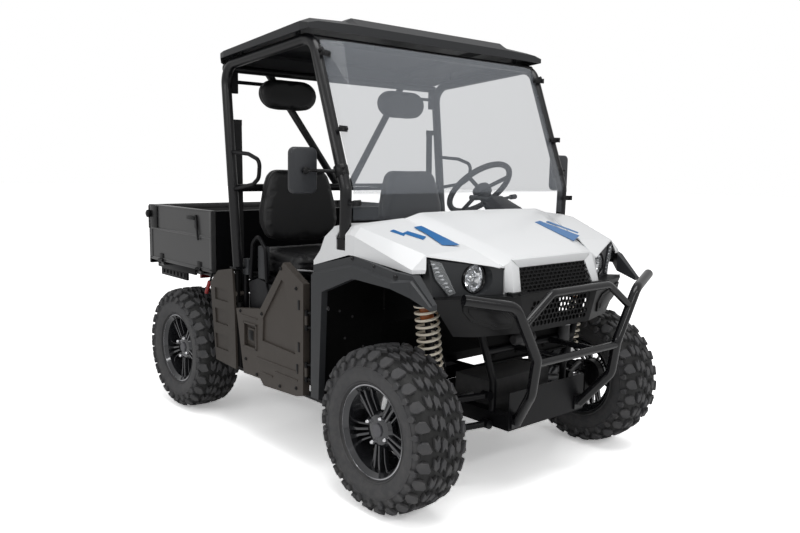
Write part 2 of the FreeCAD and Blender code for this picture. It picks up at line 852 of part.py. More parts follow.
def make_rear_subframe():
    """Posts, upper rails and cross tubes; the rearmost cross tube is the hinge of the bed."""
    radius = size("frame_tube")
    parts = []
    base = "rail_top + seat_gap"
    top = "rear_rail_height"
    for side in (1, -1):
        x = f"{side}*rear_shock_top_x"
        foot = f"{side}*(rail_side - frame_tube)"
        for end in (-1, 1):
            station = f"rear_axle + {end}*arm_spread"
            parts.append(tube([spot(foot, station, base), spot(foot, station, "upper_arm_height + arm_radius*4"),
                               spot(x, station, top)], radius, "cage_bend"))
        parts.append(tube([spot(x, "quarter_front - frame_tube*0.4", top), spot(x, "bed_hinge_station + frame_tube*0.4", top)], radius))
    for station in ("quarter_front", "rear_axle"):
        parts.append(tube([spot("-rear_shock_top_x", station, top), spot("rear_shock_top_x", station, top)], radius*0.95))
    ear = "bed_ear_x - bed_ear_thick/2 - seat_gap"
    parts.append(tube([spot(f"-({ear})", "bed_hinge_station", top), spot(ear, "bed_hinge_station", top)], radius*0.95))
    rest = block(spot("rail_x", "rear_axle - frame_tube*0.7", top),
                 spot("rail_x + bed_rail", "rear_axle + frame_tube*0.7", "bed_floor_level - bed_rail - seat_gap"))
    shape_part("rear_subframe", joined(parts + both(rest)))


def make_skid_plate():
    part = new_body("skid_plate")
    front = "-frame_front - seat_gap"
    profile = outline(part, "YZ_Plane", "Side", [
        (f"{front} - skid_thick", "rail_height + skid_rise"),
        (f"{front} - skid_thick", "rail_height - skid_thick*2"),
        ("toe_station", "rail_height - skid_thick*2"),
        ("toe_station", "rail_height - seat_gap"),
        (front, "rail_height - seat_gap"),
        (front, "rail_height + skid_rise"),
    ])
    pad(part, profile, "skid_width", "Plate", midplane=True)


def make_bull_bar():
    """Two bent side tubes with flanged feet, an arch over a cross tube, and two stays back to the frame."""
    bar = size("bar_radius")
    hoop = size("hoop_radius")
    plate = "-frame_front - skid_thick - seat_gap*2"
    sides = []
    rails = []
    for side in (1, -1):
        sides.append(tube([
            spot(f"{side}*bar_tip_x", "nose + bar_radius*3.4", "bar_tip_height"),
            spot(f"{side}*bar_shoulder_x", "nose", "bar_shoulder_height"),
            spot(f"{side}*bar_waist_x", "nose", "bar_waist_height + bar_bend"),
            spot(f"{side}*bar_waist_x", "nose + bar_radius", "bar_waist_height - bar_bend*1.4"),
            spot(f"{side}*bar_foot_x", f"{plate} - bracket_thick", "rail_height + rail_size/2"),
        ], bar, "bar_bend"))
        sides.append(block(spot(f"{side}*bar_foot_x - bar_radius*1.4", f"{plate} - bracket_thick", "rail_height"),
                           spot(f"{side}*bar_foot_x + bar_radius*1.4", plate, "rail_height + rail_size*1.2")))
        stay = f"{side}*hoop_half*0.6"
        rails.append(tube([spot(stay, "nose", "cross_tube_height"),
                           spot(stay, "-arm_spread - frame_tube - seat_gap", "cross_tube_height")], hoop*0.8))
    arch = tube([
        spot("-bar_shoulder_x*0.86", "nose", "hoop_foot_height"),
        spot("-hoop_half", "nose", "hoop_height"),
        spot("hoop_half", "nose", "hoop_height"),
        spot("bar_shoulder_x*0.86", "nose", "hoop_foot_height"),
    ], hoop, "bar_bend")
    cross = tube([spot("-bar_waist_x", "nose", "cross_tube_height"),
                  spot("bar_waist_x", "nose", "cross_tube_height")], hoop)
    behind = block(spot("-bar_shoulder_x", plate, "rail_height - rail_size"),
                   spot("bar_shoulder_x", f"{plate} + rail_size", "rail_height + rail_size*3"))
    shape_part("bull_bar", joined(sides + [arch, cross] + rails).cut(behind))


def make_fascia():
    """The black nose piece: a shell that narrows downward, open for the lower grille, on bosses to the frame."""
    part = new_body("front_fascia")
    def plan(name, half, lead, level):
        wing = "fascia_wing_ahead"
        step = f"({wing} + fascia_step)"
        wall = "panel_thick"
        outer = [(f"-({half})", f"-({wing})"), (f"-({half})*0.86", f"-({step})"), (f"-({half})*0.42", f"-({lead})"),
                 (f"({half})*0.42", f"-({lead})"), (f"({half})*0.86", f"-({step})"), (f"({half})", f"-({wing})")]
        inner = [(f"({half} - {wall}*1.5)", f"-({wing})"), (f"({half})*0.86 - {wall}", f"-({step}) + {wall}*1.5"),
                 (f"({half})*0.42 - {wall}*0.5", f"-({lead}) + {wall}*1.5"),
                 (f"-({half})*0.42 + {wall}*0.5", f"-({lead}) + {wall}*1.5"),
                 (f"-({half})*0.86 + {wall}", f"-({step}) + {wall}*1.5"), (f"-({half} - {wall}*1.5)", f"-({wing})")]
        return outline(part, "XY_Plane", name, outer + inner, level)
    top = plan("Top", "fascia_half", "fascia_ahead", "fascia_top")
    foot = plan("Foot", "fascia_half*0.8", "fascia_ahead - panel_thick", "lower_grille_level - panel_thick")
    loft(part, [foot, top], "Shell")
    shelf = outline(part, "XY_Plane", "Shelf", [
        ("-fascia_half*0.97", "-fascia_wing_ahead - panel_thick"),
        ("-fascia_half*0.85", "-(fascia_wing_ahead + fascia_step) + panel_thick"),
        ("-fascia_half*0.41", "-fascia_ahead + panel_thick"),
        ("fascia_half*0.41", "-fascia_ahead + panel_thick"),
        ("fascia_half*0.85", "-(fascia_wing_ahead + fascia_step) + panel_thick"),
        ("fascia_half*0.97", "-fascia_wing_ahead - panel_thick"),
        ("fascia_half*0.85", "-lamp_ahead + lamp_depth"),
        ("-fascia_half*0.85", "-lamp_ahead + lamp_depth"),
    ], "fascia_top - panel_thick")
    pad(part, shelf, "panel_thick", "Deck")
    half = "lower_grille_width/2"
    window = outline(part, "XZ_Plane", "Window", [
        (f"-({half})", "lower_grille_level + panel_thick"),
        (half, "lower_grille_level + panel_thick"),
        (half, "lower_grille_level + lower_grille_height"),
        (f"-({half})", "lower_grille_level + lower_grille_height"),
    ], "fascia_ahead + panel_thick*2")
    pocket(part, window, "panel_thick*6", "GrilleWindow")
    boss = ring(part, "XZ_Plane", "Boss", ("tower_x", "tower_height"), "frame_tube*0.8",
                "arm_spread + frame_tube + seat_gap")
    tip = part.Tip
    stem = pad(part, boss, "fascia_ahead*0.9 - arm_spread - frame_tube - panel_thick*0.5", "Stem")
    doc.recompute()
    mirror(part, [stem])


def honeycomb(bottom_half, top_half, low, high):
    """A flat grille: a plate between two levels, pierced by rows of hexagonal cells, every other row shifted."""
    cell, web, border = size("grille_cell"), size("grille_web"), size("grille_border")
    across = cell + web
    climb = across*math.sqrt(3)/2
    reach = cell/math.sqrt(3)
    edge = [FreeCAD.Vector(x, 0, z) for x, z in
            ((-bottom_half, low), (bottom_half, low), (top_half, high), (-top_half, high), (-bottom_half, low))]
    wires = [Part.makePolygon(edge)]
    rows = int((high - low - border*2 - reach*2)/climb) + 1
    start = (low + high)/2 - climb*(rows - 1)/2
    for row in range(rows):
        level = start + row*climb
        half = bottom_half + (top_half - bottom_half)*(level - low)/(high - low) - border - cell/2
        shift = across/2 if row % 2 else 0
        count = int((half - shift)/across)
        for step in range(-count - (1 if row % 2 else 0), count + 1):
            middle = step*across + shift
            cells = [FreeCAD.Vector(middle + reach*math.sin(turn*math.pi/3), 0, level + reach*math.cos(turn*math.pi/3))
                     for turn in range(7)]
            wires.append(Part.makePolygon(cells))
    plate = Part.Face(wires)
    plate.validate()
    return plate.extrude(FreeCAD.Vector(0, size("grille_thick"), 0))


def make_grilles():
    """The lower grille in the fascia's window and the upper one on its deck, below the hood's edge."""
    half = size("lower_grille_width/2 - seat_gap")
    lower = honeycomb(half, half, size("lower_grille_level + panel_thick + seat_gap"),
                      size("lower_grille_level + lower_grille_height - seat_gap"))
    lower.translate(spot("0", "-(fascia_ahead - panel_thick*0.6)", "0"))
    upper = honeycomb(size("hood_nose_half - panel_thick*17"), size("hood_nose_half - panel_thick*16"),
                      size("fascia_top + seat_gap"), size("hood_nose_height - panel_thick*3 - moving_gap"))
    upper.translate(spot("0", "-(hood_nose - panel_thick*2)", "0"))
    shape_part("grilles", Part.makeCompound([lower, upper]))


def make_lamps():
    """Round headlamps in the bores of swept housings that stand on the fascia."""
    part = new_body("headlamps")
    dish = ring(part, "XZ_Plane", "Dish", ("lamp_x", "lamp_height"), "lamp_radius", "lamp_ahead")
    bowl = pad(part, dish, "lamp_depth", "Bowl", backwards=True)
    doc.recompute()
    mirror(part, [bowl])
    housings = new_body("lamp_housings")
    back = "lamp_ahead - lamp_depth - seat_gap - panel_thick*2"
    inner = "hood_nose_half - panel_thick"
    shell = outline(housings, "XZ_Plane", "Shell", [
        (inner, "fascia_top + seat_gap"),
        ("lamp_corner_x - panel_thick*6", "fascia_top + seat_gap"),
        ("lamp_corner_x - panel_thick", "lamp_corner_height - panel_thick*2"),
        (inner, "lamp_corner_height - panel_thick*2"),
    ], back)
    wall = pad(housings, shell, f"hood_nose - ({back})", "Wall")
    front = outline(housings, "XY_Plane", "Slant", [
        ("0", "-hood_nose - panel_thick"),
        (inner, "-hood_nose + panel_thick"),
        ("lamp_corner_x", "-lamp_corner_ahead"),
        ("lamp_corner_x + panel_thick*9", "-lamp_corner_ahead"),
        ("lamp_corner_x + panel_thick*9", "-hood_nose - panel_thick*9"),
        ("0", "-hood_nose - panel_thick*9"),
    ])
    slant = pocket(housings, front, "roof_top", "Front", backwards=True)
    slope = outline(housings, "YZ_Plane", "Slope", [
        ("-hood_nose - panel_thick*2", "hood_nose_height - panel_thick*4 - moving_gap"),
        (f"-({back})", "hood_nose_height - panel_thick*4 - moving_gap + (hood_rear_height - hood_nose_height)"
                       f"*(hood_nose - ({back}))/(hood_nose + hood_rear)"),
        (f"-({back})", "hood_rear_height"),
        ("-hood_nose - panel_thick*2", "hood_rear_height"),
    ])
    top = pocket(housings, slope, "body_half*2", "Top", midplane=True)
    bore = ring(housings, "XZ_Plane", "Bore", ("lamp_x", "lamp_height"), "lamp_radius + seat_gap", "hood_nose + panel_thick")
    hole = pocket(housings, bore, "hood_nose + panel_thick - lamp_ahead + lamp_depth + seat_gap", "Seat")
    doc.recompute()
    mirror(housings, [wall, slant, top, hole])


def make_hood():
    """The raised centre lid, a lofted shell between its two creases, with the leaves of its hinges."""
    part = new_body("hood")
    skin = "panel_thick"
    def section(name, station, half, height, crown):
        return outline(part, "XZ_Plane", name, [
            (f"-({half})", f"{height} - {crown}"),
            (f"-({half})*0.5", height),
            (f"({half})*0.5", height),
            (half, f"{height} - {crown}"),
            (half, f"{height} - {crown} - {skin}"),
            (f"({half})*0.5", f"{height} - {skin}"),
            (f"-({half})*0.5", f"{height} - {skin}"),
            (f"-({half})", f"{height} - {crown} - {skin}"),
        ], f"-({station})")
    drawings = [
        section("Rear", "hood_rear", "hood_rear_half", "hood_rear_height", "panel_thick*2"),
        section("Nose", "-hood_nose", "hood_nose_half", "hood_nose_height", "panel_thick*2"),
    ]
    loft(part, drawings, "Skin")
    fall = "(hood_rear_height - hood_nose_height)/(hood_rear + hood_nose)"
    under = f"hood_rear_height - panel_thick*3 - seat_gap*2 - {fall}*panel_thick*8"
    leaf = outline(part, "YZ_Plane", "Leaf", [
        ("hood_rear - panel_thick*8", under),
        ("hood_rear - panel_thick*8", f"{under} - hood_hinge_radius"),
        ("hood_hinge_station", "hood_hinge_height - hood_hinge_radius"),
        ("hood_hinge_station + hood_hinge_radius", "hood_hinge_height"),
        ("hood_hinge_station", "hood_hinge_height + hood_hinge_radius"),
        ("hood_rear - panel_thick", "hood_hinge_height + hood_hinge_radius*0.6"),
    ], "hood_hinge_x - door_hinge_length/2")
    hinge = pad(part, leaf, "door_hinge_length", "Hinge")
    doc.recompute()
    mirror(part, [hinge])


def make_side_panels():
    """The white panels beside the hood, from behind the pillar foot to the lamp, notched round the pillar."""
    part = new_body("side_panels")
    skin = "panel_thick"
    gap = "moving_gap"
    def section(name, station, inner, shoulder, wall, foot):
        (inner_x, inner_z), (outer_x, outer_z), (edge_x, edge_z) = inner, shoulder, wall
        return outline(part, "XZ_Plane", name, [
            (inner_x, inner_z),
            (outer_x, outer_z),
            (edge_x, edge_z),
            (edge_x, foot),
            (f"{edge_x} - {skin}", foot),
            (f"{edge_x} - {skin}", f"{edge_z} - {skin}*0.5"),
            (f"{outer_x} - {skin}*0.5", f"{outer_z} - {skin}"),
            (inner_x, f"{inner_z} - {skin}"),
        ], f"-({station})")
    cab_inner = "sill_x - frame_tube + seat_gap"
    drawings = [
        section("Back", "side_panel_back", (cab_inner, "cowl_rear_top"), ("cowl_shoulder_x - panel_thick", "cowl_rear_top - panel_thick*2"),
                ("wall_x", "cowl_rear_top - panel_thick*11"), "flare_peak - (flare_peak - flare_rear_top)*(side_panel_back - hood_rear)/(flare_back - hood_rear) + seat_gap"),
        section("Cowl", "dash_front - panel_thick", (cab_inner, "hood_rear_height - panel_thick*5"),
                ("cowl_shoulder_x", "shoulder_height - panel_thick*2"), ("wall_x", "shoulder_height - panel_thick*9"),
                "flare_peak + seat_gap"),
        section("Rear", "hood_rear", (f"hood_rear_half + {gap}", "hood_rear_height - panel_thick*2"),
                ("cowl_shoulder_x", "shoulder_height - panel_thick*3"), ("wall_x", "shoulder_height - panel_thick*10"),
                "flare_peak + seat_gap"),
        section("Corner", "-lamp_corner_ahead",
                (f"hood_nose_half + {gap} + (hood_rear_half - hood_nose_half)*(hood_nose - lamp_corner_ahead)/(hood_nose + hood_rear)",
                 "lamp_corner_height + panel_thick*2"),
                ("lamp_corner_x", "lamp_corner_height"), ("wing_corner_x", "wing_corner_height + panel_thick*3"),
                "wing_corner_height + seat_gap"),
        section("Tip", "-hood_nose + panel_thick", (f"hood_nose_half + {gap}", "hood_nose_height - panel_thick*2"),
                ("hood_nose_half + panel_thick*5", "hood_nose_height - panel_thick*2.5"),
                ("hood_nose_half + panel_thick*6", "hood_nose_height - panel_thick*4"), "hood_nose_height - panel_thick*5"),
    ]
    skin_feature = loft(part, drawings, "Skin")
    clear = "(cage_radius + moving_gap)"
    notch = outline(part, "XY_Plane", "Notch", [
        (f"cage_x - {clear}", f"pillar_foot_station - {clear}"),
        (f"cage_x + {clear}*2", f"pillar_foot_station - {clear}"),
        (f"cage_x + {clear}*2", f"pillar_foot_station + {clear}"),
        (f"cage_x - {clear}", f"pillar_foot_station + {clear}"),
    ], "flare_top")
    hole = pocket(part, notch, "roof_top - flare_top", "PillarNotch", backwards=True)
    rear = outline(part, "YZ_Plane", "RearSlant", [
        ("side_panel_top_back", "roof_top"),
        ("side_panel_top_back", "cowl_rear_top - panel_thick*2"),
        ("side_panel_top_back + (side_panel_back - side_panel_top_back)*0.53", "(cowl_rear_top + flare_rear_top)/2 - panel_thick*4"),
        ("side_panel_back + overrun", "flare_rear_top"),
        ("side_panel_back + overrun*9", "flare_rear_top"),
        ("side_panel_back + overrun*9", "roof_top"),
    ])
    trim = pocket(part, rear, "body_half*2", "RearTrim", midplane=True)
    window = outline(part, "XZ_Plane", "LampOpening", [
        ("hood_nose_half + panel_thick*2", "fascia_top"),
        ("hood_nose_half + panel_thick*2", "hood_nose_height - panel_thick*4"),
        ("lamp_x - lamp_radius*0.9", "hood_nose_height - panel_thick*2"),
        ("lamp_x + lamp_radius", "(lamp_corner_height + hood_nose_height)/2 - panel_thick*2"),
        ("lamp_corner_x", "lamp_corner_height - panel_thick*1.5"),
        ("lamp_corner_x + panel_thick*4", "wing_corner_height - panel_thick"),
        ("lamp_corner_x + panel_thick*4", "fascia_top"),
    ], "hood_nose + panel_thick")
    opening = pocket(part, window, "hood_nose + panel_thick - lamp_corner_ahead + panel_thick", "LampCut")
    post = outline(part, "XZ_Plane", "NosePost", [
        ("hood_nose_half - panel_thick*17 + moving_gap", "fascia_top + seat_gap"),
        ("hood_nose_half - panel_thick*2", "fascia_top + seat_gap"),
        ("hood_nose_half - panel_thick", "hood_nose_height - panel_thick*4 - moving_gap"),
        ("hood_nose_half - panel_thick*16 + moving_gap", "hood_nose_height - panel_thick*4 - moving_gap"),
    ], "hood_nose")
    leg = pad(part, post, "panel_thick*2", "NoseLeg", backwards=True)
    doc.recompute()
    mirror(part, [skin_feature, hole, trim, opening, leg])


def make_flares():
    """The dark band over the front wheel: narrow at the nose, tall behind the wheel."""
    part = new_body("flares")
    def section(name, station, inner, outer, low, high, step="flare_step"):
        return outline(part, "XZ_Plane", name, [
            (inner, low),
            (outer, low),
            (outer, f"{high} - {step}"),
            (f"{outer} - flare_ledge", f"{high} - {step}*0.7"),
            (f"{outer} - flare_ledge", high),
            (inner, high),
        ], f"-({station})")
    nose_low = "arch_top - panel_thick*15"
    def ridge(station):
        share = f"({station} + lamp_corner_ahead)/(hood_rear + lamp_corner_ahead)"
        return f"wing_corner_height + (flare_peak - wing_corner_height)*{share}"
    drawings = [
        section("Nose", "-flare_front", "flare_nose_x - panel_thick*2", "flare_nose_x + panel_thick*5",
                nose_low, "fascia_top - panel_thick", "flare_step*0.2"),
        section("Wing", "-lamp_corner_ahead - panel_thick*3", "flare_nose_x - panel_thick*3", "flare_outer - panel_thick*8",
                "arch_top - panel_thick*8", "wing_corner_height - panel_thick", "flare_step*0.5"),
        section("Front", "-flare_front*0.3", "flare_inner", "flare_outer", "arch_top - panel_thick*2", ridge("-flare_front*0.3")),
        section("Peak", "hood_rear - panel_thick*6", "flare_inner", "flare_outer", "arch_top", ridge("hood_rear - panel_thick*6")),
        section("Shoulder", "hood_rear", "flare_inner", "flare_outer", "arch_top - panel_thick*0.5", "flare_peak"),
        section("Back", "arch_back - panel_thick*4", "flare_inner", "flare_outer", "arch_top - panel_thick*16",
                "flare_peak - (flare_peak - flare_rear_top)*(arch_back - panel_thick*4 - hood_rear)/(flare_back - hood_rear)"),
        section("Drop", "arch_back", "flare_inner", "flare_outer", "flare_foot",
                "flare_peak - (flare_peak - flare_rear_top)*(arch_back - hood_rear)/(flare_back - hood_rear)"),
        section("Tail", "flare_back", "flare_inner", "flare_outer", "flare_foot", "flare_rear_top"),
    ]
    band = loft(part, drawings, "Band")
    doc.recompute()
    mirror(part, [band])


def make_inner_fenders():
    """Black liners over and behind each front wheel, with an inner wall against the tower rail."""
    part = new_body("inner_fenders")
    inner = "tower_x + frame_tube + seat_gap"
    front = "lamp_depth - lamp_ahead + panel_thick*6"
    profile = outline(part, "YZ_Plane", "Liner", [
        ("arch_back + panel_thick*2", "flare_foot"),
        ("arch_back + panel_thick*2 + panel_thick", "flare_foot"),
        ("arch_back - panel_thick", "arch_top - panel_thick*10"),
        ("flare_back*0.4", "arch_top + panel_thick*2"),
        (front, "arch_top + panel_thick"),
        (front, "arch_top"),
        ("flare_back*0.4", "arch_top + panel_thick"),
        ("arch_back - panel_thick*2", "arch_top - panel_thick*10"),
    ], inner)
    sheet_pad = pad(part, profile, f"flare_inner - seat_gap - ({inner})", "Sheet")
    notch_low = "shock_station - eye_length/2 - bracket_thick - moving_gap"
    notch_high = "shock_station + eye_length/2 + bracket_thick + moving_gap"
    notch_top = "shock_top_height + eye_radius + bracket_thick + moving_gap"
    wall = outline(part, "YZ_Plane", "Wall", [
        (front, "arch_top + panel_thick*0.5"),
        (front, "tower_height - panel_thick*16"),
        (notch_low, "tower_height - panel_thick*16"),
        (notch_low, notch_top),
        (notch_high, notch_top),
        (notch_high, "tower_height - panel_thick*16"),
        ("arch_back - panel_thick*6", "tower_height - panel_thick*36"),
        ("arch_back - panel_thick*3", "arch_top - panel_thick*10"),
        ("flare_back*0.4", "arch_top + panel_thick*1.5"),
    ], inner)
    wall_pad = pad(part, wall, "panel_thick", "InnerWall")
    doc.recompute()
    mirror(part, [sheet_pad, wall_pad])


def make_dash():
    """The dash pad: it runs over the cowl bar and down in front of the toe board."""
    part = new_body("dash")
    bar_clear = "frame_tube + seat_gap"
    profile = outline(part, "YZ_Plane", "Side", [
        ("dash_front", "dash_top"),
        ("dash_back", "dash_top - panel_thick*2"),
        ("dash_back + dash_brow", "dash_top - dash_brow"),
        ("dash_back + dash_brow*0.8", "dash_foot"),
        ("dash_back + dash_brow*0.5", "dash_foot"),
        ("dash_back + dash_brow*0.5", "arch_top + panel_thick*5"),
        (f"cowl_bar_station + {bar_clear}", "arch_top + panel_thick*5"),
        (f"cowl_bar_station + {bar_clear}", f"cowl_bar_height + {bar_clear}"),
        ("dash_front", f"cowl_bar_height + {bar_clear}"),
    ])
    pad(part, profile, "(sill_x - frame_tube - panel_gap)*2", "Block", midplane=True)


def make_floor():
    """A moulded tray with a toe board, a tunnel and side lips."""
    part = new_body("floor_tub")
    profile = outline(part, "YZ_Plane", "Side", [
        ("toe_station + tub_wall", "toe_height"),
        ("toe_station + frame_tube*4", "floor_height + floor_thick + overrun*3"),
        ("toe_station + frame_tube*7", "floor_height + floor_thick"),
        ("seat_base_front + cushion_depth", "floor_height + floor_thick"),
        ("seat_base_front + cushion_depth", "floor_height"),
        ("toe_station + frame_tube*6", "floor_height"),
        ("toe_station + frame_tube*3", "floor_height + overrun*3"),
        ("toe_station", "toe_height"),
    ])
    pad(part, profile, "(sill_x - frame_tube - seat_gap)*2", "Tray", midplane=True)
    hump = outline(part, "XZ_Plane", "Hump", [
        ("-tunnel_half", "floor_height + floor_thick/2"),
        ("tunnel_half", "floor_height + floor_thick/2"),
        ("tunnel_half*0.8", "floor_top + tunnel_height"),
        ("-tunnel_half*0.8", "floor_top + tunnel_height"),
    ], "-(toe_station + frame_tube*5)")
    pad(part, hump, "seat_base_front - toe_station - frame_tube*5 - seat_gap", "Tunnel", backwards=True)


def make_seats():
    base = new_body("seat_base")
    profile = outline(base, "YZ_Plane", "Side", [
        ("seat_base_front", "floor_top + seat_gap"),
        ("seat_base_front", "seat_base_top"),
        ("seat_back_station", "seat_base_top"),
        ("seat_back_station", "floor_top + seat_gap"),
    ])
    pad(base, profile, "seat_base_half*2", "Box", midplane=True)
    room = outline(base, "YZ_Plane", "Room", [
        ("seat_base_front + tub_wall", "floor_top"),
        ("seat_base_front + tub_wall", "seat_base_top - tub_wall"),
        ("seat_back_station + overrun", "seat_base_top - tub_wall"),
        ("seat_back_station + overrun", "floor_top"),
    ])
    pocket(base, room, "(seat_base_half - tub_wall)*2", "Hollow", midplane=True)
    for side in (1, -1):
        cushion = new_body(f"seat_cushion_{side_name(side)}")
        half = "seat_width/2"
        level = "seat_base_top + seat_gap"
        front = "seat_base_front"
        profile = outline(cushion, "YZ_Plane", "Side", [
            (front, level),
            (front, f"{level} + cushion_thick*0.62"),
            (f"{front} + cushion_thick*0.3", f"{level} + cushion_thick*0.95"),
            (f"{front} + cushion_thick*0.8", f"{level} + cushion_thick"),
            ("seat_back_station", f"{level} + cushion_thick"),
            ("seat_back_station", level),
        ], f"{side}*seat_x")
        pad(cushion, profile, "seat_width", "Pad", midplane=True)
        back = new_body(f"seat_back_{side_name(side)}")
        def section(name, station, waist):
            low = "seat_top + seat_gap*2"
            high = "seat_top + back_height"
            return outline(back, "XZ_Plane", name, [
                (f"{side}*seat_x - ({waist})*0.74", low),
                (f"{side}*seat_x + ({waist})*0.74", low),
                (f"{side}*seat_x + ({waist})", "seat_top + back_height*0.2"),
                (f"{side}*seat_x + ({waist})*0.99", "seat_top + back_height*0.5"),
                (f"{side}*seat_x + ({waist})*0.83", "seat_top + back_height*0.86"),
                (f"{side}*seat_x + ({waist})*0.7", high),
                (f"{side}*seat_x - ({waist})*0.7", high),
                (f"{side}*seat_x - ({waist})*0.83", "seat_top + back_height*0.86"),
                (f"{side}*seat_x - ({waist})*0.99", "seat_top + back_height*0.5"),
                (f"{side}*seat_x - ({waist})", "seat_top + back_height*0.2"),
            ], f"-({station})")
        slab = pad(back, section("Front", "seat_back_station - back_thick - back_lean", half),
                   "back_thick + back_lean", "Pad", backwards=True)
        rake = outline(back, "YZ_Plane", "Rake", [
            ("seat_back_station - back_lean", "seat_top"),
            ("seat_back_station + overrun", "seat_top"),
            ("seat_back_station + overrun", "seat_top + back_height + overrun"),
            ("seat_back_station", "seat_top + back_height + overrun"),
        ], f"{side}*seat_x")
        pocket(back, rake, "seat_width*1.2", "RearRake", midplane=True)
        lean = outline(back, "YZ_Plane", "Lean", [
            ("seat_back_station - back_thick - back_lean - overrun", "seat_top"),
            ("seat_back_station - back_thick - back_lean", "seat_top"),
            ("seat_back_station - back_thick*0.8", "seat_top + back_height + overrun"),
            ("seat_back_station - back_thick - back_lean - overrun", "seat_top + back_height + overrun"),
        ], f"{side}*seat_x")
        pocket(back, lean, "seat_width*1.2", "FrontRake", midplane=True)
        rest = new_body(f"headrest_{side_name(side)}")
        plan = outline(rest, "XZ_Plane", "Front", [
            (f"{side}*seat_x - headrest_width/2", "headrest_level - headrest_height/2"),
            (f"{side}*seat_x + headrest_width/2", "headrest_level - headrest_height/2"),
            (f"{side}*seat_x + headrest_width/2", "headrest_level + headrest_height/2"),
            (f"{side}*seat_x - headrest_width/2", "headrest_level + headrest_height/2"),
        ], "-headrest_front")
        block_feature = pad(rest, plan, "headrest_thick", "Pad", backwards=True)
        rounded(rest, block_feature, lambda a, b: abs(a.y - b.y) > abs(a.x - b.x) + abs(a.z - b.z),
                "headrest_height*0.48", "Corners")


DOOR_RECESS_SHARES = [(0.10, 0.31), (0.25, 0.85), (0.29, 0.86), (0.55, 0.52), (0.56, 0.33)]
DOOR_LATCH_SHARES = [(0.64, 0.24), (0.64, 0.43), (0.83, 0.44), (0.83, 0.24)]
QUARTER_RECESS_SHARES = [(0.15, 0.30), (0.41, 0.56), (0.65, 0.77)]
DOOR_SHARES = [(0.0, 0.007), (0.0, 0.863), (0.259, 1.0), (0.592, 0.585), (0.963, 0.535), (0.851, 0.0),
               (0.597, 0.007), (0.547, -0.04), (0.089, -0.016)]
QUARTER_SHARES = [(0.0, 0.0), (0.035, 0.55), (0.12, 1.0), (0.68, 0.95), (1.0, 0.81), (0.80, 0.024)]


def share_points(shares, start, length, foot, height):
    return [(f"{start} + {length}*({along})", f"{foot} + {height}*({up})") for along, up in shares]


def make_doors():
    """Half doors with the leaves of their hinges, and the fixed quarter panels behind them."""
    leaf_gap = "seat_gap"
    for side in (1, -1):
        part = new_body(f"door_{side_name(side)}")
        points = share_points(DOOR_SHARES, "door_front", "door_length", "door_foot", "door_height")
        panel = outline(part, "YZ_Plane", "Panel", points, f"{side}*door_x")
        pad(part, panel, "door_thick", "Slab", backwards=side < 0)
        face = f"{side}*(door_x + door_thick)"
        for name, shares, depth in (("Recess", DOOR_RECESS_SHARES, "door_recess"),
                                    ("LatchPocket", DOOR_LATCH_SHARES, "door_recess*1.5")):
            points = share_points(shares, "door_front", "door_length", "door_foot", "door_height")
            pressing = outline(part, "YZ_Plane", name, points, face)
            pocket(part, pressing, depth, f"{name}Cut", backwards=side < 0)
        for name, level in (("Low", "door_hinge_low"), ("High", "door_hinge_high")):
            base = f"{level} - door_hinge_length/2"
            barrel = ring(part, "XY_Plane", f"{name}Pin", (f"{side}*(door_hinge_x)", "door_hinge_station"), "door_hinge_radius", base)
            pad(part, barrel, "door_hinge_length", f"{name}Barrel")
            plate = outline(part, "XY_Plane", f"{name}Plate", [
                (f"{side}*(door_hinge_x - door_hinge_radius*0.7)", "door_hinge_station"),
                (f"{side}*(door_hinge_x + door_hinge_radius*0.7)", "door_hinge_station"),
                (f"{side}*(door_hinge_x + door_hinge_radius*0.7)", f"door_front - {leaf_gap}"),
                (f"{side}*(door_hinge_x - door_hinge_radius*0.7)", f"door_front - {leaf_gap}"),
            ], base)
            pad(part, plate, "door_hinge_length", f"{name}Leaf")
    part = new_body("quarter_panels")
    points = share_points(QUARTER_SHARES, "quarter_front", "quarter_length", "quarter_foot", "quarter_height")
    panel = outline(part, "YZ_Plane", "Panel", points, "cage_x")
    feature = pad(part, panel, "panel_thick*2.4", "Slab")
    bosses = [feature]
    for number, (low, high) in enumerate(QUARTER_RECESS_SHARES):
        points = share_points([(0.30, low), (0.30, high), (0.82, high), (0.82 - (1 - low)*0.05, low)],
                              "quarter_front", "quarter_length", "quarter_foot", "quarter_height")
        pressing = outline(part, "YZ_Plane", f"Recess{number}", points, "cage_x + panel_thick*2.4")
        bosses.append(pocket(part, pressing, "quarter_recess", f"RecessCut{number}"))
    for name, level in (("Low", "quarter_foot + quarter_height*0.25"), ("High", "quarter_foot + quarter_height*0.75")):
        boss = ring(part, "YZ_Plane", f"{name}Stud", ("post_station", level), "frame_tube*0.7",
                    "post_x + frame_tube + seat_gap")
        bosses.append(pad(part, boss, "cage_x - post_x - frame_tube", f"{name}Boss"))
    doc.recompute()
    mirror(part, bosses)


def rear_leg(side):
    """The line of one rear pillar, from its foot up to the roof."""
    x = f"{side}*cage_x"
    return [spot(x, "rear_foot_station", "rear_flange_height + pillar_flange + seat_gap"),
            spot(x, "rear_knee_station", "rear_knee_height"),
            spot(x, "cage_rear_station", "cage_rear_top")]


def front_leg(side):
    """The line of one front pillar, from its foot up to the roof."""
    x = f"{side}*cage_x"
    return [spot(x, "pillar_foot_station", "pillar_flange_height + pillar_flange + seat_gap"),
            spot(x, "pillar_kink_station", "pillar_kink_height"),
            spot(x, "cage_front_station", "cage_front_top")]


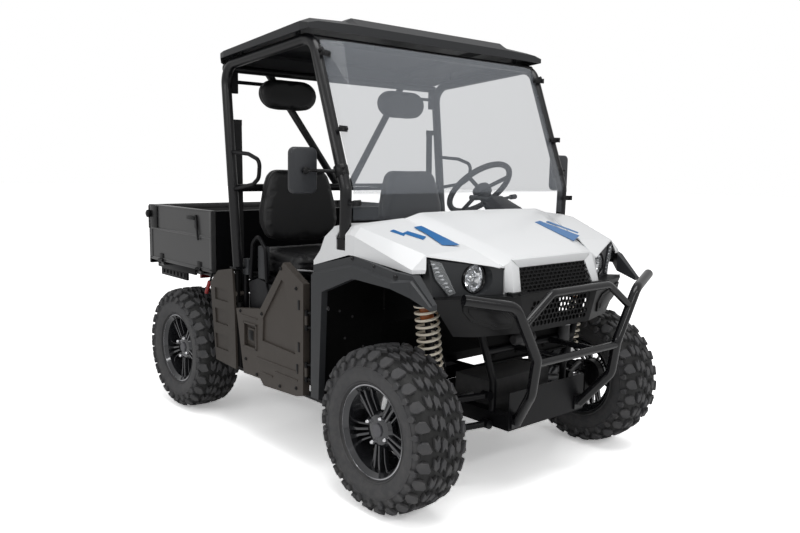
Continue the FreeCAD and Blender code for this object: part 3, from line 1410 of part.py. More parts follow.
def pane_lug(height):
    """A stud from the left pillar to the back of the pane, square to the pane."""
    kink = spot("cage_x", "pane_kink_station + pane_thick", "pane_kink_height")
    top = spot("cage_x", "pane_top_station + pane_thick", "pane_top_height")
    level = size(height)
    if level < kink.z:
        run = FreeCAD.Vector(0, 0, 1)
        touch = FreeCAD.Vector(kink.x, kink.y, level)
    else:
        run = (top - kink).normalize()
        touch = kink + run*((level - kink.z)/run.z)
    square = FreeCAD.Vector(0, run.z, -run.y)
    near = touch + square*size("seat_gap")
    return tube([near, near + square*size("cage_radius*2")], size("pane_lug_radius"))


def make_cage():
    """The tubular protective structure: two side loops, cross tubes at the roof and a braced crossbar."""
    radius = size("cage_radius")
    fat = radius + size("seat_gap")
    def side_path(side):
        return front_leg(side) + rear_leg(side)[::-1]
    reach = "cage_x + cage_radius*2"
    loop = joined([tube(side_path(1), radius, "cage_bend")] +
                  [pane_lug(level) for level in ("pane_lug_low", "pane_lug_mid", "pane_lug_high")])
    for station, flange in (("pillar_foot_station", "pillar_flange_height"), ("rear_foot_station", "rear_flange_height")):
        loop = loop.cut(block(spot("0", f"{station} - cage_radius*2", f"{flange} - cage_radius"),
                              spot(reach, f"{station} + cage_radius*2", f"{flange} + pillar_flange + seat_gap")))
    shape_part("rops_left", loop)
    shape_part("rops_right", opposite(loop))
    fat_loops = tube(side_path(1), fat, "cage_bend")
    def trimmed(shape):
        return shape.cut(fat_loops).cut(opposite(fat_loops))
    thin = size("brace_radius")
    header_station = "cage_front_station + brace_radius*0.5"
    header = tube([spot("-cage_x", header_station, "cage_front_top - brace_radius*0.5"),
                   spot("cage_x", header_station, "cage_front_top - brace_radius*0.5")], thin)
    shape_part("rops_header", trimmed(header))
    setback = "brace_setback"
    cross = tube([spot("-cage_x", "crossbar_station", "crossbar_height"), spot("cage_x", "crossbar_station", "crossbar_height")], thin)
    tail_station = f"cage_rear_station + {setback}*0.4"
    tail_height = "cage_rear_top - cage_radius*0.4"
    tail = tube([spot("-cage_x", tail_station, tail_height), spot("cage_x", tail_station, tail_height)], thin)
    braces = [cross, tail]
    for side in (1, -1):
        braces.append(tube([spot(f"{side}*brace_top_x", f"cage_rear_station + {setback}*0.8", tail_height),
                            spot(f"{side}*brace_radius*2", f"crossbar_station + {setback}", "crossbar_height")], thin))
    shape_part("rops_brace", trimmed(joined(braces)))
    arm_station = "headrest_back + seat_gap + rest_arm_radius"
    holder = joined([
        tube([spot("cage_x", arm_station, "headrest_arm_height"),
              spot("brace_top_x - brace_radius*0.3", arm_station, "headrest_arm_height")], size("rest_arm_radius")),
        block(spot("cage_x - cage_radius*2.4", f"{arm_station} - rest_arm_radius", "headrest_arm_height - rest_plate_half"),
              spot("cage_x", f"{arm_station} + rest_arm_radius", "headrest_arm_height + rest_plate_half*0.9")),
    ])
    shape_part("headrest_arms", Part.makeCompound(both(holder.cut(fat_loops))))


def roof_section(part, kind, station, half, top, drop, low, hump, inset):
    """One cross-section of the roof: outer or, with an inset, the hollow under it."""
    side = f"({half} - ({inset}))"
    rise = f"({top} - ({inset}))"
    low = f"({low})" if inset == "0" else f"({low} - overrun*4)"
    shoulder = f"({rise} - ({drop}))"
    edge = "(roof_hump_half + roof_hump*1.5)"
    right = [(side, low), (side, shoulder), (f"{side}*0.93", f"{rise} - ({drop})*0.3"), (edge, rise),
             ("roof_hump_half", f"{rise} + ({hump})")]
    left = [(f"-({across})", up) for across, up in reversed(right)]
    return outline(part, "XZ_Plane", kind, right + left, f"-({station})")


def make_roof():
    """A moulded roof shell with side skirts, a raised middle, rounded rear corners and a notched rear lip."""
    part = new_body("roof")
    slope = "(cage_front_top - cage_rear_top)/(cage_rear_station - cage_front_station)"
    tube_top = "cage_radius + seat_gap"
    def skirt(station):
        return f"cage_front_top + {tube_top} - ({station} - cage_front_station)*{slope}"
    lead = "roof_front"
    brow = "roof_front + roof_corner*0.45"
    ramp = "roof_front + roof_corner*0.8"
    crest = "roof_front + roof_corner*1.1"
    def crown(station):
        return f"roof_brow_top - (roof_brow_top - roof_rear_top)*({station} - ({brow}))/(roof_tail - roof_corner - ({brow}))"
    rows = [
        ("Lead", lead, "roof_half - panel_thick", f"{skirt(lead)} + roof_band", "roof_side_drop*0.6", skirt(lead), "0"),
        ("Brow", brow, "roof_half", crown(brow), "roof_side_drop", skirt(brow), "roof_hump*0.9"),
        ("Ramp", ramp, "roof_half", crown(ramp), "roof_side_drop", skirt(ramp), "roof_hump"),
        ("Crest", crest, "roof_half", crown(crest), "roof_side_drop", skirt(crest), "roof_hump"),
        ("Rear", "roof_tail - roof_corner", "roof_half", crown("roof_tail - roof_corner"), "roof_side_drop",
         skirt("roof_tail - roof_corner"), "roof_hump"),
    ]
    corner_rows = [(0.66, 0.058, 0.0, 1.0), (0.33, 0.258, 0.5, 1.0), (0.12, 0.525, 0.8, 0.9), (0.0, 0.75, 1.0, 0.7)]
    for number, (ahead, tuck, lip, shrink) in enumerate(corner_rows):
        station = f"roof_tail - roof_corner*{ahead}"
        fall = f"({skirt('roof_tail - roof_corner')} - roof_lip_height)*{lip}"
        rows.append((f"Corner{number}", station, f"roof_half - roof_corner*{tuck}",
                     f"{crown(station)} - roof_corner*{(1 - ahead)*(1 - ahead)*0.12:.4f}", "roof_side_drop",
                     f"{skirt('roof_tail - roof_corner')} - {fall}", f"roof_hump*{shrink}"))
    outer = [roof_section(part, name, station, half, top, drop, low, hump, "0")
             for name, station, half, top, drop, low, hump in rows]
    loft(part, outer, "Outer")
    inner = [roof_section(part, f"{name}Hollow", station if name not in ("Lead", "Corner3") else
                          (f"{station} + roof_thick" if name == "Lead" else f"{station} - roof_thick"),
                          half, top, drop, low, hump, "roof_thick")
             for name, station, half, top, drop, low, hump in rows]
    hollow = part.newObject("PartDesign::SubtractiveLoft", "Hollow")
    hollow.Profile = inner[0]
    hollow.Sections = inner[1:]
    hollow.Ruled = True
    part.Tip = hollow
    notch = outline(part, "XZ_Plane", "Notch", [
        ("-roof_notch_half*0.8", "roof_lip_height - overrun"),
        ("roof_notch_half*0.8", "roof_lip_height - overrun"),
        ("roof_notch_half", "roof_lip_height + roof_band"),
        ("roof_notch_half*0.9", "roof_rear_top - roof_band*0.8"),
        ("-roof_notch_half*0.9", "roof_rear_top - roof_band*0.8"),
        ("-roof_notch_half", "roof_lip_height + roof_band"),
    ], "-(roof_tail + overrun)")
    pocket(part, notch, "roof_corner*0.5", "RearNotch", backwards=False)
    pads = []
    for name, station in (("Fore", "cage_front_station + cage_bend*1.2"), ("Aft", "cage_rear_station - cage_bend*1.5")):
        rest = outline(part, "XZ_Plane", f"{name}Rest", [
            ("cage_x - cage_radius*0.5", skirt(station)),
            ("cage_x", skirt(station)),
            ("cage_x", f"{crown(station)} - roof_side_drop*0.43"),
            ("cage_x - cage_radius*0.5", f"{crown(station)} - roof_side_drop*0.43"),
        ], f"-({station})")
        pads.append(pad(part, rest, "cage_radius", f"{name}Pad", backwards=True))
    doc.recompute()
    mirror(part, pads)


def make_windshield():
    part = new_body("windshield")
    profile = outline(part, "YZ_Plane", "Side", [
        ("pane_kink_station", "pane_foot_height"),
        ("pane_kink_station", "pane_kink_height"),
        ("pane_top_station", "pane_top_height"),
        ("pane_top_station + pane_thick", "pane_top_height"),
        ("pane_kink_station + pane_thick", "pane_kink_height"),
        ("pane_kink_station + pane_thick", "pane_foot_height"),
    ])
    pad(part, profile, "pane_half*2", "Pane", midplane=True)


def make_steering():
    tilt = math.radians(SIZES["steer_tilt"])
    axis = FreeCAD.Vector(0, math.cos(tilt), math.sin(tilt))
    centre = spot("steer_x", "steer_station", "steer_height")
    radius = size("steer_radius")
    grip = size("steer_grip")
    wheel = Part.makeTorus(radius, grip, centre, axis)
    hub = Part.makeCylinder(size("column_radius*1.4"), size("steer_grip*2"), centre - axis*grip*2, axis)
    spokes = []
    across = FreeCAD.Vector(1, 0, 0)
    for angle in (90, 210, 330):
        way = FreeCAD.Rotation(axis, angle).multVec(across)
        spokes.append(tube([centre - axis*grip, centre + way*radius], grip*0.7))
    shape_part("steering_wheel", joined([wheel, hub] + spokes))
    top = centre - axis*(grip*2 + size("seat_gap"))
    length = size("column_length + moving_gap")
    foot = top - axis*length
    column = Part.makeCone(size("column_radius*1.5"), size("column_radius"), length, foot, axis)
    dash_solid = doc.getObject("dash")
    doc.recompute()
    shape_part("steering_column", column.cut(dash_solid.Tip.Shape))


def make_mirrors():
    """A rounded mirror head on a bent arm that clamps to the front pillar."""
    radius = size("mirror_arm_radius")
    head = block(spot("mirror_x - mirror_width/2", "mirror_station", "mirror_level - mirror_height/2"),
                 spot("mirror_x + mirror_width/2", "mirror_station + mirror_depth", "mirror_level + mirror_height/2"))
    long_edges = [edge for edge in head.Edges if abs(edge.tangentAt(0).y) > 0.9]
    head = head.makeFillet(size("mirror_depth*0.7"), long_edges)
    arm_line = tube([spot("cage_x", "mirror_arm_station", "mirror_level"),
                     spot("mirror_x - mirror_width*0.3", "mirror_arm_station", "mirror_level"),
                     spot("mirror_x", "mirror_station + mirror_depth/2", "mirror_level")], radius, "mirror_depth")
    clamp = block(spot("cage_x", "mirror_arm_station - mirror_depth*0.4", "mirror_level - mirror_depth*0.5"),
                  spot("cage_x + cage_radius + panel_gap*2", "mirror_arm_station + mirror_depth*0.4",
                       "mirror_level + mirror_depth*0.5"))
    pillar = tube(front_leg(1), size("cage_radius + seat_gap"), "cage_bend")
    whole = joined([head, arm_line, clamp]).cut(pillar)
    shape_part("mirrors", Part.makeCompound(both(whole)))


def make_loops():
    """Tubular side loops: one beside each seat back and one beside each cushion."""
    radius = size("brace_radius*0.5")
    upper = [spot("cage_x", "rear_knee_station + overrun", "seat_top + loop_high"),
             spot("cage_x", "rear_knee_station - overrun*7", "seat_top + loop_high - overrun*0.5"),
             spot("cage_x", "loop_front", "seat_top + loop_high - overrun*2"),
             spot("cage_x", "loop_front + overrun*0.5", "seat_top + loop_low + overrun*3"),
             spot("cage_x", "loop_front + overrun*3", "seat_top + loop_low + overrun*1.5"),
             spot("cage_x", "rear_knee_station", "seat_top + loop_low")]
    side_x = "seat_base_half + brace_radius*2"
    leg = "seat_base_top - overrun"
    lower = [spot("seat_base_half + seat_gap", "hip_loop_back", leg),
             spot(side_x, "hip_loop_back", leg),
             spot(side_x, "hip_loop_back - overrun", "hip_loop_top - overrun*2"),
             spot(side_x, "(hip_loop_back + hip_loop_front)/2", "hip_loop_top"),
             spot(side_x, "hip_loop_front + overrun*0.5", "hip_loop_top - overrun*3"),
             spot(side_x, "hip_loop_front", leg),
             spot("seat_base_half + seat_gap", "hip_loop_front", leg)]
    pillar = tube(rear_leg(1), size("cage_radius + seat_gap"), "cage_bend")
    solids = both(tube(upper, radius, "brace_radius*2").cut(pillar)) + both(tube(lower, radius, "brace_radius*2"))
    shape_part("bolster_loops", Part.makeCompound(solids))


def make_bed():
    """A tipping bed: floor with runners and a front wall, hinged drop sides and a hinged tailgate."""
    deck = new_body("bed_floor")
    inner = "bed_half - bed_wall - moving_gap"
    rear = "bed_back - bed_wall - moving_gap"
    plan = outline(deck, "XY_Plane", "Deck", [
        (f"-({inner})", "bed_front"),
        (inner, "bed_front"),
        (inner, rear),
        (f"-({inner})", rear),
    ], "bed_floor_level")
    pad(deck, plan, "bed_floor_thick", "Floor")
    wall = outline(deck, "XY_Plane", "Wall", [
        (f"-({inner})", "bed_front"),
        (inner, "bed_front"),
        (inner, "bed_front + bed_wall"),
        (f"-({inner})", "bed_front + bed_wall"),
    ], "bed_floor_level")
    pad(deck, wall, "bed_floor_thick + bed_side_height", "FrontWall")
    rails = outline(deck, "XZ_Plane", "Rails", [
        ("rail_x", "bed_floor_level - bed_rail"),
        ("rail_x + bed_rail", "bed_floor_level - bed_rail"),
        ("rail_x + bed_rail", "bed_floor_level + bed_floor_thick/2"),
        ("rail_x", "bed_floor_level + bed_floor_thick/2"),
    ], "-(bed_front)")
    runner = pad(deck, rails, "bed_length - bed_wall - moving_gap", "Runner", backwards=True)
    ear = outline(deck, "YZ_Plane", "Ear", [
        ("bed_hinge_station - bed_ear_half", "bed_floor_level - seat_gap"),
        ("bed_hinge_station - bed_ear_half", "bed_hinge_height"),
        ("bed_hinge_station - bed_ear_half*0.5", "bed_hinge_height - bed_ear_half*0.87"),
        ("bed_hinge_station + bed_ear_half*0.5", "bed_hinge_height - bed_ear_half*0.87"),
        ("bed_hinge_station + bed_ear_half", "bed_hinge_height"),
        ("bed_hinge_station + bed_ear_half", "bed_floor_level - seat_gap"),
    ], "bed_ear_x - bed_ear_thick/2")
    ears = pad(deck, ear, "bed_ear_thick", "HingeEar")
    axis_x = "bed_half - hinge_radius"
    axis_z = "bed_floor_level - hinge_drop"
    leaf = [
        (f"{inner} - hinge_drop*2", "bed_floor_level - seat_gap"),
        (f"{inner} - hinge_drop*2", f"{axis_z} - hinge_radius"),
        (f"{axis_x}", f"{axis_z} - hinge_radius"),
        (f"{axis_x} + hinge_radius", axis_z),
        (f"{axis_x}", f"{axis_z} + hinge_radius"),
        (inner, "bed_floor_level - seat_gap"),
    ]
    features = [runner, ears]
    for name, share in (("Fore", 0.2), ("Aft", 0.8)):
        station = f"bed_front + bed_length*{share}"
        plate = outline(deck, "XZ_Plane", f"{name}Leaf", leaf, f"-({station} + seat_gap)")
        features.append(pad(deck, plate, "hinge_length/2", f"{name}Hinge", backwards=True))
    doc.recompute()
    mirror(deck, features)
    gate_axis = "bed_back - hinge_radius"
    gate_leaf = [
        (f"{rear} - hinge_drop*2", "bed_floor_level - seat_gap"),
        (f"{rear} - hinge_drop*2", f"{axis_z} - hinge_radius"),
        (gate_axis, f"{axis_z} - hinge_radius"),
        (f"{gate_axis} + hinge_radius", axis_z),
        (gate_axis, f"{axis_z} + hinge_radius"),
        (rear, "bed_floor_level - seat_gap"),
    ]
    plate = outline(deck, "YZ_Plane", "GateLeaf", gate_leaf, "bed_half*0.6 + seat_gap")
    hinge = pad(deck, plate, "hinge_length/2", "GateHinge")
    doc.recompute()
    mirror(deck, [hinge], "GateMirror")
    for side in (1, -1):
        panel = new_body(f"bed_side_{side_name(side)}")
        face = outline(panel, "YZ_Plane", "Face", [
            ("bed_front", "bed_floor_level"),
            (rear, "bed_floor_level"),
            (rear, "bed_deck + bed_side_height"),
            ("bed_front", "bed_deck + bed_side_height"),
        ], f"{side}*bed_half")
        pad(panel, face, "bed_wall", "Slab", backwards=side > 0)
        strap = [
            (f"{side}*bed_half", "bed_floor_level - seat_gap"),
            (f"{side}*(bed_half)", axis_z),
            (f"{side}*({axis_x})", f"{axis_z} - hinge_radius"),
            (f"{side}*({axis_x} - hinge_radius)", axis_z),
            (f"{side}*({axis_x} - hinge_radius)", "bed_floor_level - seat_gap"),
        ]
        for name, share in (("Fore", 0.2), ("Aft", 0.8)):
            station = f"bed_front + bed_length*{share}"
            plate = outline(panel, "XZ_Plane", f"{name}Strap", strap, f"-({station} - seat_gap)")
            pad(panel, plate, "hinge_length/2", f"{name}Hinge")
    gate = new_body("tailgate")
    face = outline(gate, "XZ_Plane", "Face", [
        ("-bed_half", "bed_floor_level"),
        ("bed_half", "bed_floor_level"),
        ("bed_half", "bed_deck + bed_side_height"),
        ("-bed_half", "bed_deck + bed_side_height"),
    ], "-(bed_back)")
    pad(gate, face, "bed_wall", "Slab")
    strap = [
        ("bed_back", "bed_floor_level - seat_gap"),
        ("bed_back", axis_z),
        (gate_axis, f"{axis_z} - hinge_radius"),
        (f"{gate_axis} - hinge_radius", axis_z),
        (f"{gate_axis} - hinge_radius", "bed_floor_level - seat_gap"),
    ]
    plate = outline(gate, "YZ_Plane", "Strap", strap, "bed_half*0.6 - seat_gap")
    hinge = pad(gate, plate, "hinge_length/2", "Hinge", backwards=True)
    doc.recompute()
    mirror(gate, [hinge])


def make_hinge_lugs():
    """The fixed knuckles of the door hinges and of the hood hinges."""
    lugs = []
    barrel = size("door_hinge_radius")
    half = "door_hinge_length/2"
    for level in ("door_hinge_low", "door_hinge_high"):
        for foot in (f"{level} + {half} + seat_gap", f"{level} - {half} - seat_gap - door_hinge_length*0.6"):
            pin = spot("door_hinge_x", "door_hinge_station", foot)
            knuckle = Part.makeCylinder(barrel, size("door_hinge_length*0.6"), pin, FreeCAD.Vector(0, 0, 1))
            middle = pin + spot("0", "0", "door_hinge_length*0.3")
            anchor = FreeCAD.Vector(size("sill_x"), size("toe_station"), middle.z)
            away = (middle - anchor).normalize()
            lugs.append(joined([knuckle, tube([anchor + away*size("frame_tube + seat_gap*3"), middle], barrel*0.7)]))
    bracket = Part.makePolygon([spot("hood_hinge_x", station, height) for station, height in (
        ("hood_hinge_station - hood_hinge_radius", "hood_hinge_height"),
        ("hood_hinge_station", "hood_hinge_height - hood_hinge_radius"),
        ("dash_front - seat_gap", "dash_top - hood_hinge_radius*5"),
        ("dash_front - seat_gap", "dash_top - panel_thick*0.5"),
        ("hood_hinge_station + hood_hinge_radius", "hood_hinge_height - hood_hinge_radius*0.3"),
        ("hood_hinge_station", "hood_hinge_height + hood_hinge_radius"),
        ("hood_hinge_station - hood_hinge_radius", "hood_hinge_height"))])
    width = size("door_hinge_length*0.4")
    face = Part.Face(Part.Wire(bracket.Edges))
    for offset in (size(f"{half} + seat_gap"), -size(f"{half} + seat_gap") - width):
        leaf = face.extrude(FreeCAD.Vector(width, 0, 0))
        leaf.translate(FreeCAD.Vector(offset, 0, 0))
        lugs.append(leaf)
    shape_part("hinge_lugs", Part.makeCompound([piece for lug in lugs for piece in both(lug)]))


def make_hitch():
    part = new_body("hitch")
    face = outline(part, "YZ_Plane", "Bracket", [
        ("bed_hinge_station + seat_gap", "rail_height"),
        ("bed_hinge_station + seat_gap + hitch_thick", "rail_height"),
        ("bed_hinge_station + seat_gap + hitch_thick", "rail_top + rail_size/2"),
        ("bed_hinge_station + seat_gap", "rail_top + rail_size/2"),
    ])
    pad(part, face, "hitch_plate_half*2", "Bracket", midplane=True)
    tongue = outline(part, "XY_Plane", "Tongue", [
        ("-hitch_half", "bed_hinge_station + seat_gap + hitch_thick/2"),
        ("hitch_half", "bed_hinge_station + seat_gap + hitch_thick/2"),
        ("hitch_half*0.8", "bed_hinge_station + hitch_length"),
        ("-hitch_half*0.8", "bed_hinge_station + hitch_length"),
    ], "rail_top + rail_size/2 - hitch_thick")
    pad(part, tongue, "hitch_thick", "Plate")
    hole = ring(part, "XY_Plane", "PinHole", ("0", "bed_hinge_station + hitch_length - hitch_half*0.8"), "hitch_hole",
                "rail_top + rail_size/2 - hitch_thick - seat_gap")
    pocket(part, hole, "hitch_thick + seat_gap*2", "PinBore", backwards=True)


def make_belts():
    """Each belt's anchor at the pillar, its webbing and its reel on the post behind the seat."""
    low = "seat_base_top - overrun*6"
    reel = block(spot("post_x - frame_tube", "post_station + frame_tube + seat_gap", "seat_base_top - overrun*10"),
                 spot("post_x + frame_tube", "post_station + frame_tube*3.5", low))
    reel_top = spot("post_x", "post_station + frame_tube*3", low)
    anchor = spot("post_x", "headrest_back + belt_width*0.1", "belt_anchor_height")
    across = spot("belt_width/2", "0", "0")
    strap = Part.Face(Part.Wire(Part.makePolygon([reel_top - across, reel_top + across, anchor + across,
                                                  anchor - across, reel_top - across]).Edges))
    strap = strap.extrude(spot("0", "belt_thick", "0"))
    clip = block(anchor - across - spot("0", "belt_thick", "belt_width*0.3"),
                 spot("cage_x", "headrest_back + belt_width*0.1", "belt_anchor_height + belt_width*0.3") + spot("0", "belt_thick*2", "0"))
    pillar = tube(rear_leg(1), size("cage_radius + seat_gap"), "cage_bend")
    shape_part("seat_belts", Part.makeCompound(both(joined([reel, strap, clip]).cut(pillar))))


def make_tail_lamps():
    part = new_body("tail_lamps")
    face = outline(part, "XZ_Plane", "Lens", [
        ("lamp_box_x - lamp_box_half", "rear_rail_height - lamp_box_height"),
        ("lamp_box_x + lamp_box_half", "rear_rail_height - lamp_box_height"),
        ("lamp_box_x + lamp_box_half", "rear_rail_height"),
        ("lamp_box_x - lamp_box_half", "rear_rail_height"),
    ], "-(bed_hinge_station + frame_tube*0.95 + seat_gap)")
    lens = pad(part, face, "frame_tube", "Box", backwards=True)
    doc.recompute()
    mirror(part, [lens])


def make_all():
    make_wheels()
    make_uprights()
    make_suspension()
    make_driveline()
    make_frame()
    make_front_subframe()
    make_rear_subframe()
    make_skid_plate()
    make_bull_bar()
    make_fascia()
    make_grilles()
    make_lamps()
    make_hood()
    make_side_panels()
    make_flares()
    make_inner_fenders()
    make_dash()
    make_floor()
    make_seats()
    make_doors()
    make_cage()
    make_roof()
    make_windshield()
    make_steering()
    make_mirrors()
    make_loops()
    make_bed()
    make_hinge_lugs()
    make_hitch()
    make_belts()
    make_tail_lamps()


def write_all():
    doc.recompute()
    for item in doc.Objects:
        if any(mark in item.State for mark in ("Invalid", "Error")):
            raise RuntimeError(f"{item.Label} did not build: {item.State}")
    for part in PARTS:
        if part.Shape.isNull() or not part.Shape.isValid():
            raise RuntimeError(f"{part.Label} has no valid shape")
    os.makedirs("parts", exist_ok=True)
    for part in PARTS:
        part.Shape.exportStep(f"parts/{part.Label}.step")


make_all()
write_all()
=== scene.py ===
"""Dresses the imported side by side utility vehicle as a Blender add-on: tyres with tread,
split-spoke rims, padded seats, coil springs, grilles, lamps, hardware and finishes."""

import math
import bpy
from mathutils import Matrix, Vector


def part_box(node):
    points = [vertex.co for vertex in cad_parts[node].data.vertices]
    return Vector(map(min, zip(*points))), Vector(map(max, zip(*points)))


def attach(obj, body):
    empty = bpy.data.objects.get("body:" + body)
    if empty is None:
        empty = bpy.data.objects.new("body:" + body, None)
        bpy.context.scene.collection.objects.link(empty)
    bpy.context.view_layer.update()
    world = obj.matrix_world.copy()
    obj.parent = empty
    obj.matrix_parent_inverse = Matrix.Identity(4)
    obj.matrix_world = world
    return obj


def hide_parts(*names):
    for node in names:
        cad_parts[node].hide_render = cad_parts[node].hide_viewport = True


bl_info = {
    "name": "Side by side utility vehicle",
    "version": (1, 0, 0),
    "blender": (4, 5, 0),
    "location": "3D View > Sidebar > Utility vehicle",
    "description": "Builds the looks of a two-seat utility vehicle on its packed frame",
    "category": "Object",
}

import bmesh
import bpy
from bpy.props import FloatProperty, FloatVectorProperty, IntProperty, PointerProperty
from mathutils import Matrix, Vector

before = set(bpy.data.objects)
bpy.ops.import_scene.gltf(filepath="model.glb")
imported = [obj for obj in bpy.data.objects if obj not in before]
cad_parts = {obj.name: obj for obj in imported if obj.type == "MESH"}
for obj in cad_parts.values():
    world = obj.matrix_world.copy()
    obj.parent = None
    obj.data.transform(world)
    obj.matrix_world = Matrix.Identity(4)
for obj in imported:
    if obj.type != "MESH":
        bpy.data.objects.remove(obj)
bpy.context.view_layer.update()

SIDES = ("left", "right")
WHEELS = ("front_left", "front_right", "rear_left", "rear_right")
# Signs of the right and the left side, and the directions forward and along an axle
BOTH = (-1, 1)
AHEAD, AXLE = (0, -1, 0), (1, 0, 0)
# Millimetres from the front axle to the frame's origin
FRONT_AXLE = 872
# Height in metres below which the windshield is almost bare
PANE_FOLD = 1.235
# Rise of a honeycomb row as a share of the pitch
HONEYCOMB_ROW = 0.866
# Faces that meet at more than this, in radians, make a fold
FOLD_ANGLE = 0.9
# Radius and height of a bolt's dome and its socket, as shares of the head's
BOLT_SHARES = ((1.0, 0.0), (0.96, 0.55), (0.7, 0.92), (0.4, 1.0), (0.36, 0.6), (0.0, 0.6))
DUST_COLOUR = (0.30, 0.28, 0.25, 1.0)


# Reading the frame


def span(node):
    """The lowest corner, the highest corner and the centre of a node of the frame."""
    low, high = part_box(node)
    return low, high, (low + high) / 2


def side_sign(name):
    """Plus one on the vehicle's left, minus one on its right."""
    return 1 if name.endswith("left") else -1


def wheel_body(place):
    """The body that carries one wheel."""
    return f"wheel_{place}"


def spot(across, back, up):
    """A point in millimetres: across, back from the front axle, and up."""
    return Vector((across, back - FRONT_AXLE, up)) / 1000


def spots(points, sign=1):
    """Points on the left side as spots; a sign of minus one puts them on the right."""
    return [spot(sign * across, back, up) for across, back, up in points]


def facing(direction, sign):
    """A direction on the left side, mirrored by a sign of minus one."""
    return (sign * direction[0], direction[1], direction[2])


# Bmesh helpers


def verts_in(made):
    return [item for item in made if isinstance(item, bmesh.types.BMVert)]


def edges_in(made):
    return [item for item in made if isinstance(item, bmesh.types.BMEdge)]


def faces_in(made):
    return [item for item in made if isinstance(item, bmesh.types.BMFace)]


def everything(bm):
    """All corners, edges and faces, as the operators take them."""
    return bm.verts[:] + bm.edges[:] + bm.faces[:]


def folded(edges):
    """The edges whose two faces meet in a fold."""
    return [edge for edge in edges
            if len(edge.link_faces) == 2 and edge.calc_face_angle() > FOLD_ANGLE]


def rounded_edges(bm, edges, reach, segments=2):
    """Rounds edges, as a mould or a press leaves them."""
    bmesh.ops.bevel(bm, geom=list(edges), offset=reach, offset_type="OFFSET", affect="EDGES",
                    segments=segments, profile=0.5, material=-1, clamp_overlap=True)


def loft(bm, near, far, round_by=0.0):
    """A solid between two outlines with as many corners."""
    near = [Vector(corner) for corner in near]
    face = bm.faces.new([bm.verts.new(corner) for corner in near])
    made = verts_in(bmesh.ops.extrude_face_region(bm, geom=[face])["geom"])
    for vert in made:
        index = min(range(len(near)), key=lambda at: (near[at] - vert.co).length)
        vert.co = Vector(far[index])
    made += list(face.verts)
    if round_by:
        rounded_edges(bm, {edge for vert in made for edge in vert.link_edges}, round_by)


def slab(bm, corners, shift, round_by=0.0):
    """A flat plate on the given corners, as thick as shift."""
    shift = Vector(shift)
    loft(bm, corners, [Vector(corner) + shift for corner in corners], round_by)


def block(bm, low, high, round_by=0.0, segments=2):
    """A box between two corners, with its edges rounded."""
    low, high = Vector(low), Vector(high)
    made = bmesh.ops.create_cube(bm, size=1.0)["verts"]
    bmesh.ops.scale(bm, vec=high - low, verts=made)
    bmesh.ops.translate(bm, vec=(low + high) / 2, verts=made)
    if round_by:
        edges = {edge for vert in made for edge in vert.link_edges}
        rounded_edges(bm, edges, round_by, segments)
    return made


def cells(bm, half_width, height, pitch, web, squash):
    """Open honeycomb webs in the x-y plane, from y = 0 to height."""
    row_rise = pitch * HONEYCOMB_ROW * squash
    columns = int(half_width / pitch) + 2
    for row in range(int(height / row_rise) + 2):
        for column in range(-columns, columns + 1):
            made = bmesh.ops.create_circle(bm, segments=6, radius=pitch / math.sqrt(3),
                                           cap_ends=True)["verts"]
            bmesh.ops.rotate(bm, verts=made, matrix=Matrix.Rotation(math.pi / 6, 3, "Z"))
            bmesh.ops.scale(bm, verts=made, vec=(1, squash, 1))
            bmesh.ops.translate(bm, verts=made,
                                vec=((column + (row % 2) / 2) * pitch, row * row_rise, 0))
    holes = bmesh.ops.inset_individual(bm, faces=bm.faces[:], thickness=web / 2)
    rings = set(holes["faces"])
    bmesh.ops.delete(bm, geom=[face for face in bm.faces if face not in rings],
                     context="FACES")
    for at, away in (((0, 0, 0), (0, -1, 0)), ((0, height, 0), (0, 1, 0)),
                     ((half_width, 0, 0), (1, 0, 0)), ((-half_width, 0, 0), (-1, 0, 0))):
        bmesh.ops.bisect_plane(bm, geom=everything(bm), plane_co=at, plane_no=away,
                               clear_outer=True)
    bmesh.ops.remove_doubles(bm, verts=bm.verts, dist=0.0003)


def tablet(bm, low, high, axis, corner, round_by):
    """A block whose corners are rounded across one axis, with softened rims."""
    level = 0.0001
    before = set(bm.verts)
    made = block(bm, low, high)
    posts = {edge for vert in made for edge in vert.link_edges
             if abs((edge.verts[0].co - edge.verts[1].co)[axis]) > level}
    rounded_edges(bm, posts, corner, 6)
    if round_by:
        made = set(bm.verts) - before
        rims = {edge for vert in made for edge in vert.link_edges
                if abs((edge.verts[0].co - edge.verts[1].co)[axis]) < level}
        rounded_edges(bm, folded(rims), round_by, 3)


def turned(bm, profile, centre, axis, steps):
    """A turned form: the profile's points (radius, along) spun round the axis at centre."""
    axis = Vector(axis).normalized()
    across = axis.orthogonal().normalized()
    centre = Vector(centre)
    row = [bm.verts.new(centre + across * radius + axis * along) for radius, along in profile]
    edges = [bm.edges.new(pair) for pair in zip(row, row[1:])]
    bmesh.ops.spin(bm, geom=row + edges, cent=centre, axis=axis, dvec=(0, 0, 0),
                   angle=math.tau, steps=steps, use_merge=True, use_duplicate=False)


def bolt_head(bm, centre, axis, radius, height):
    """A dome-headed bolt standing on a surface."""
    turned(bm, [(radius * out, height * up) for out, up in BOLT_SHARES], centre, axis, 12)


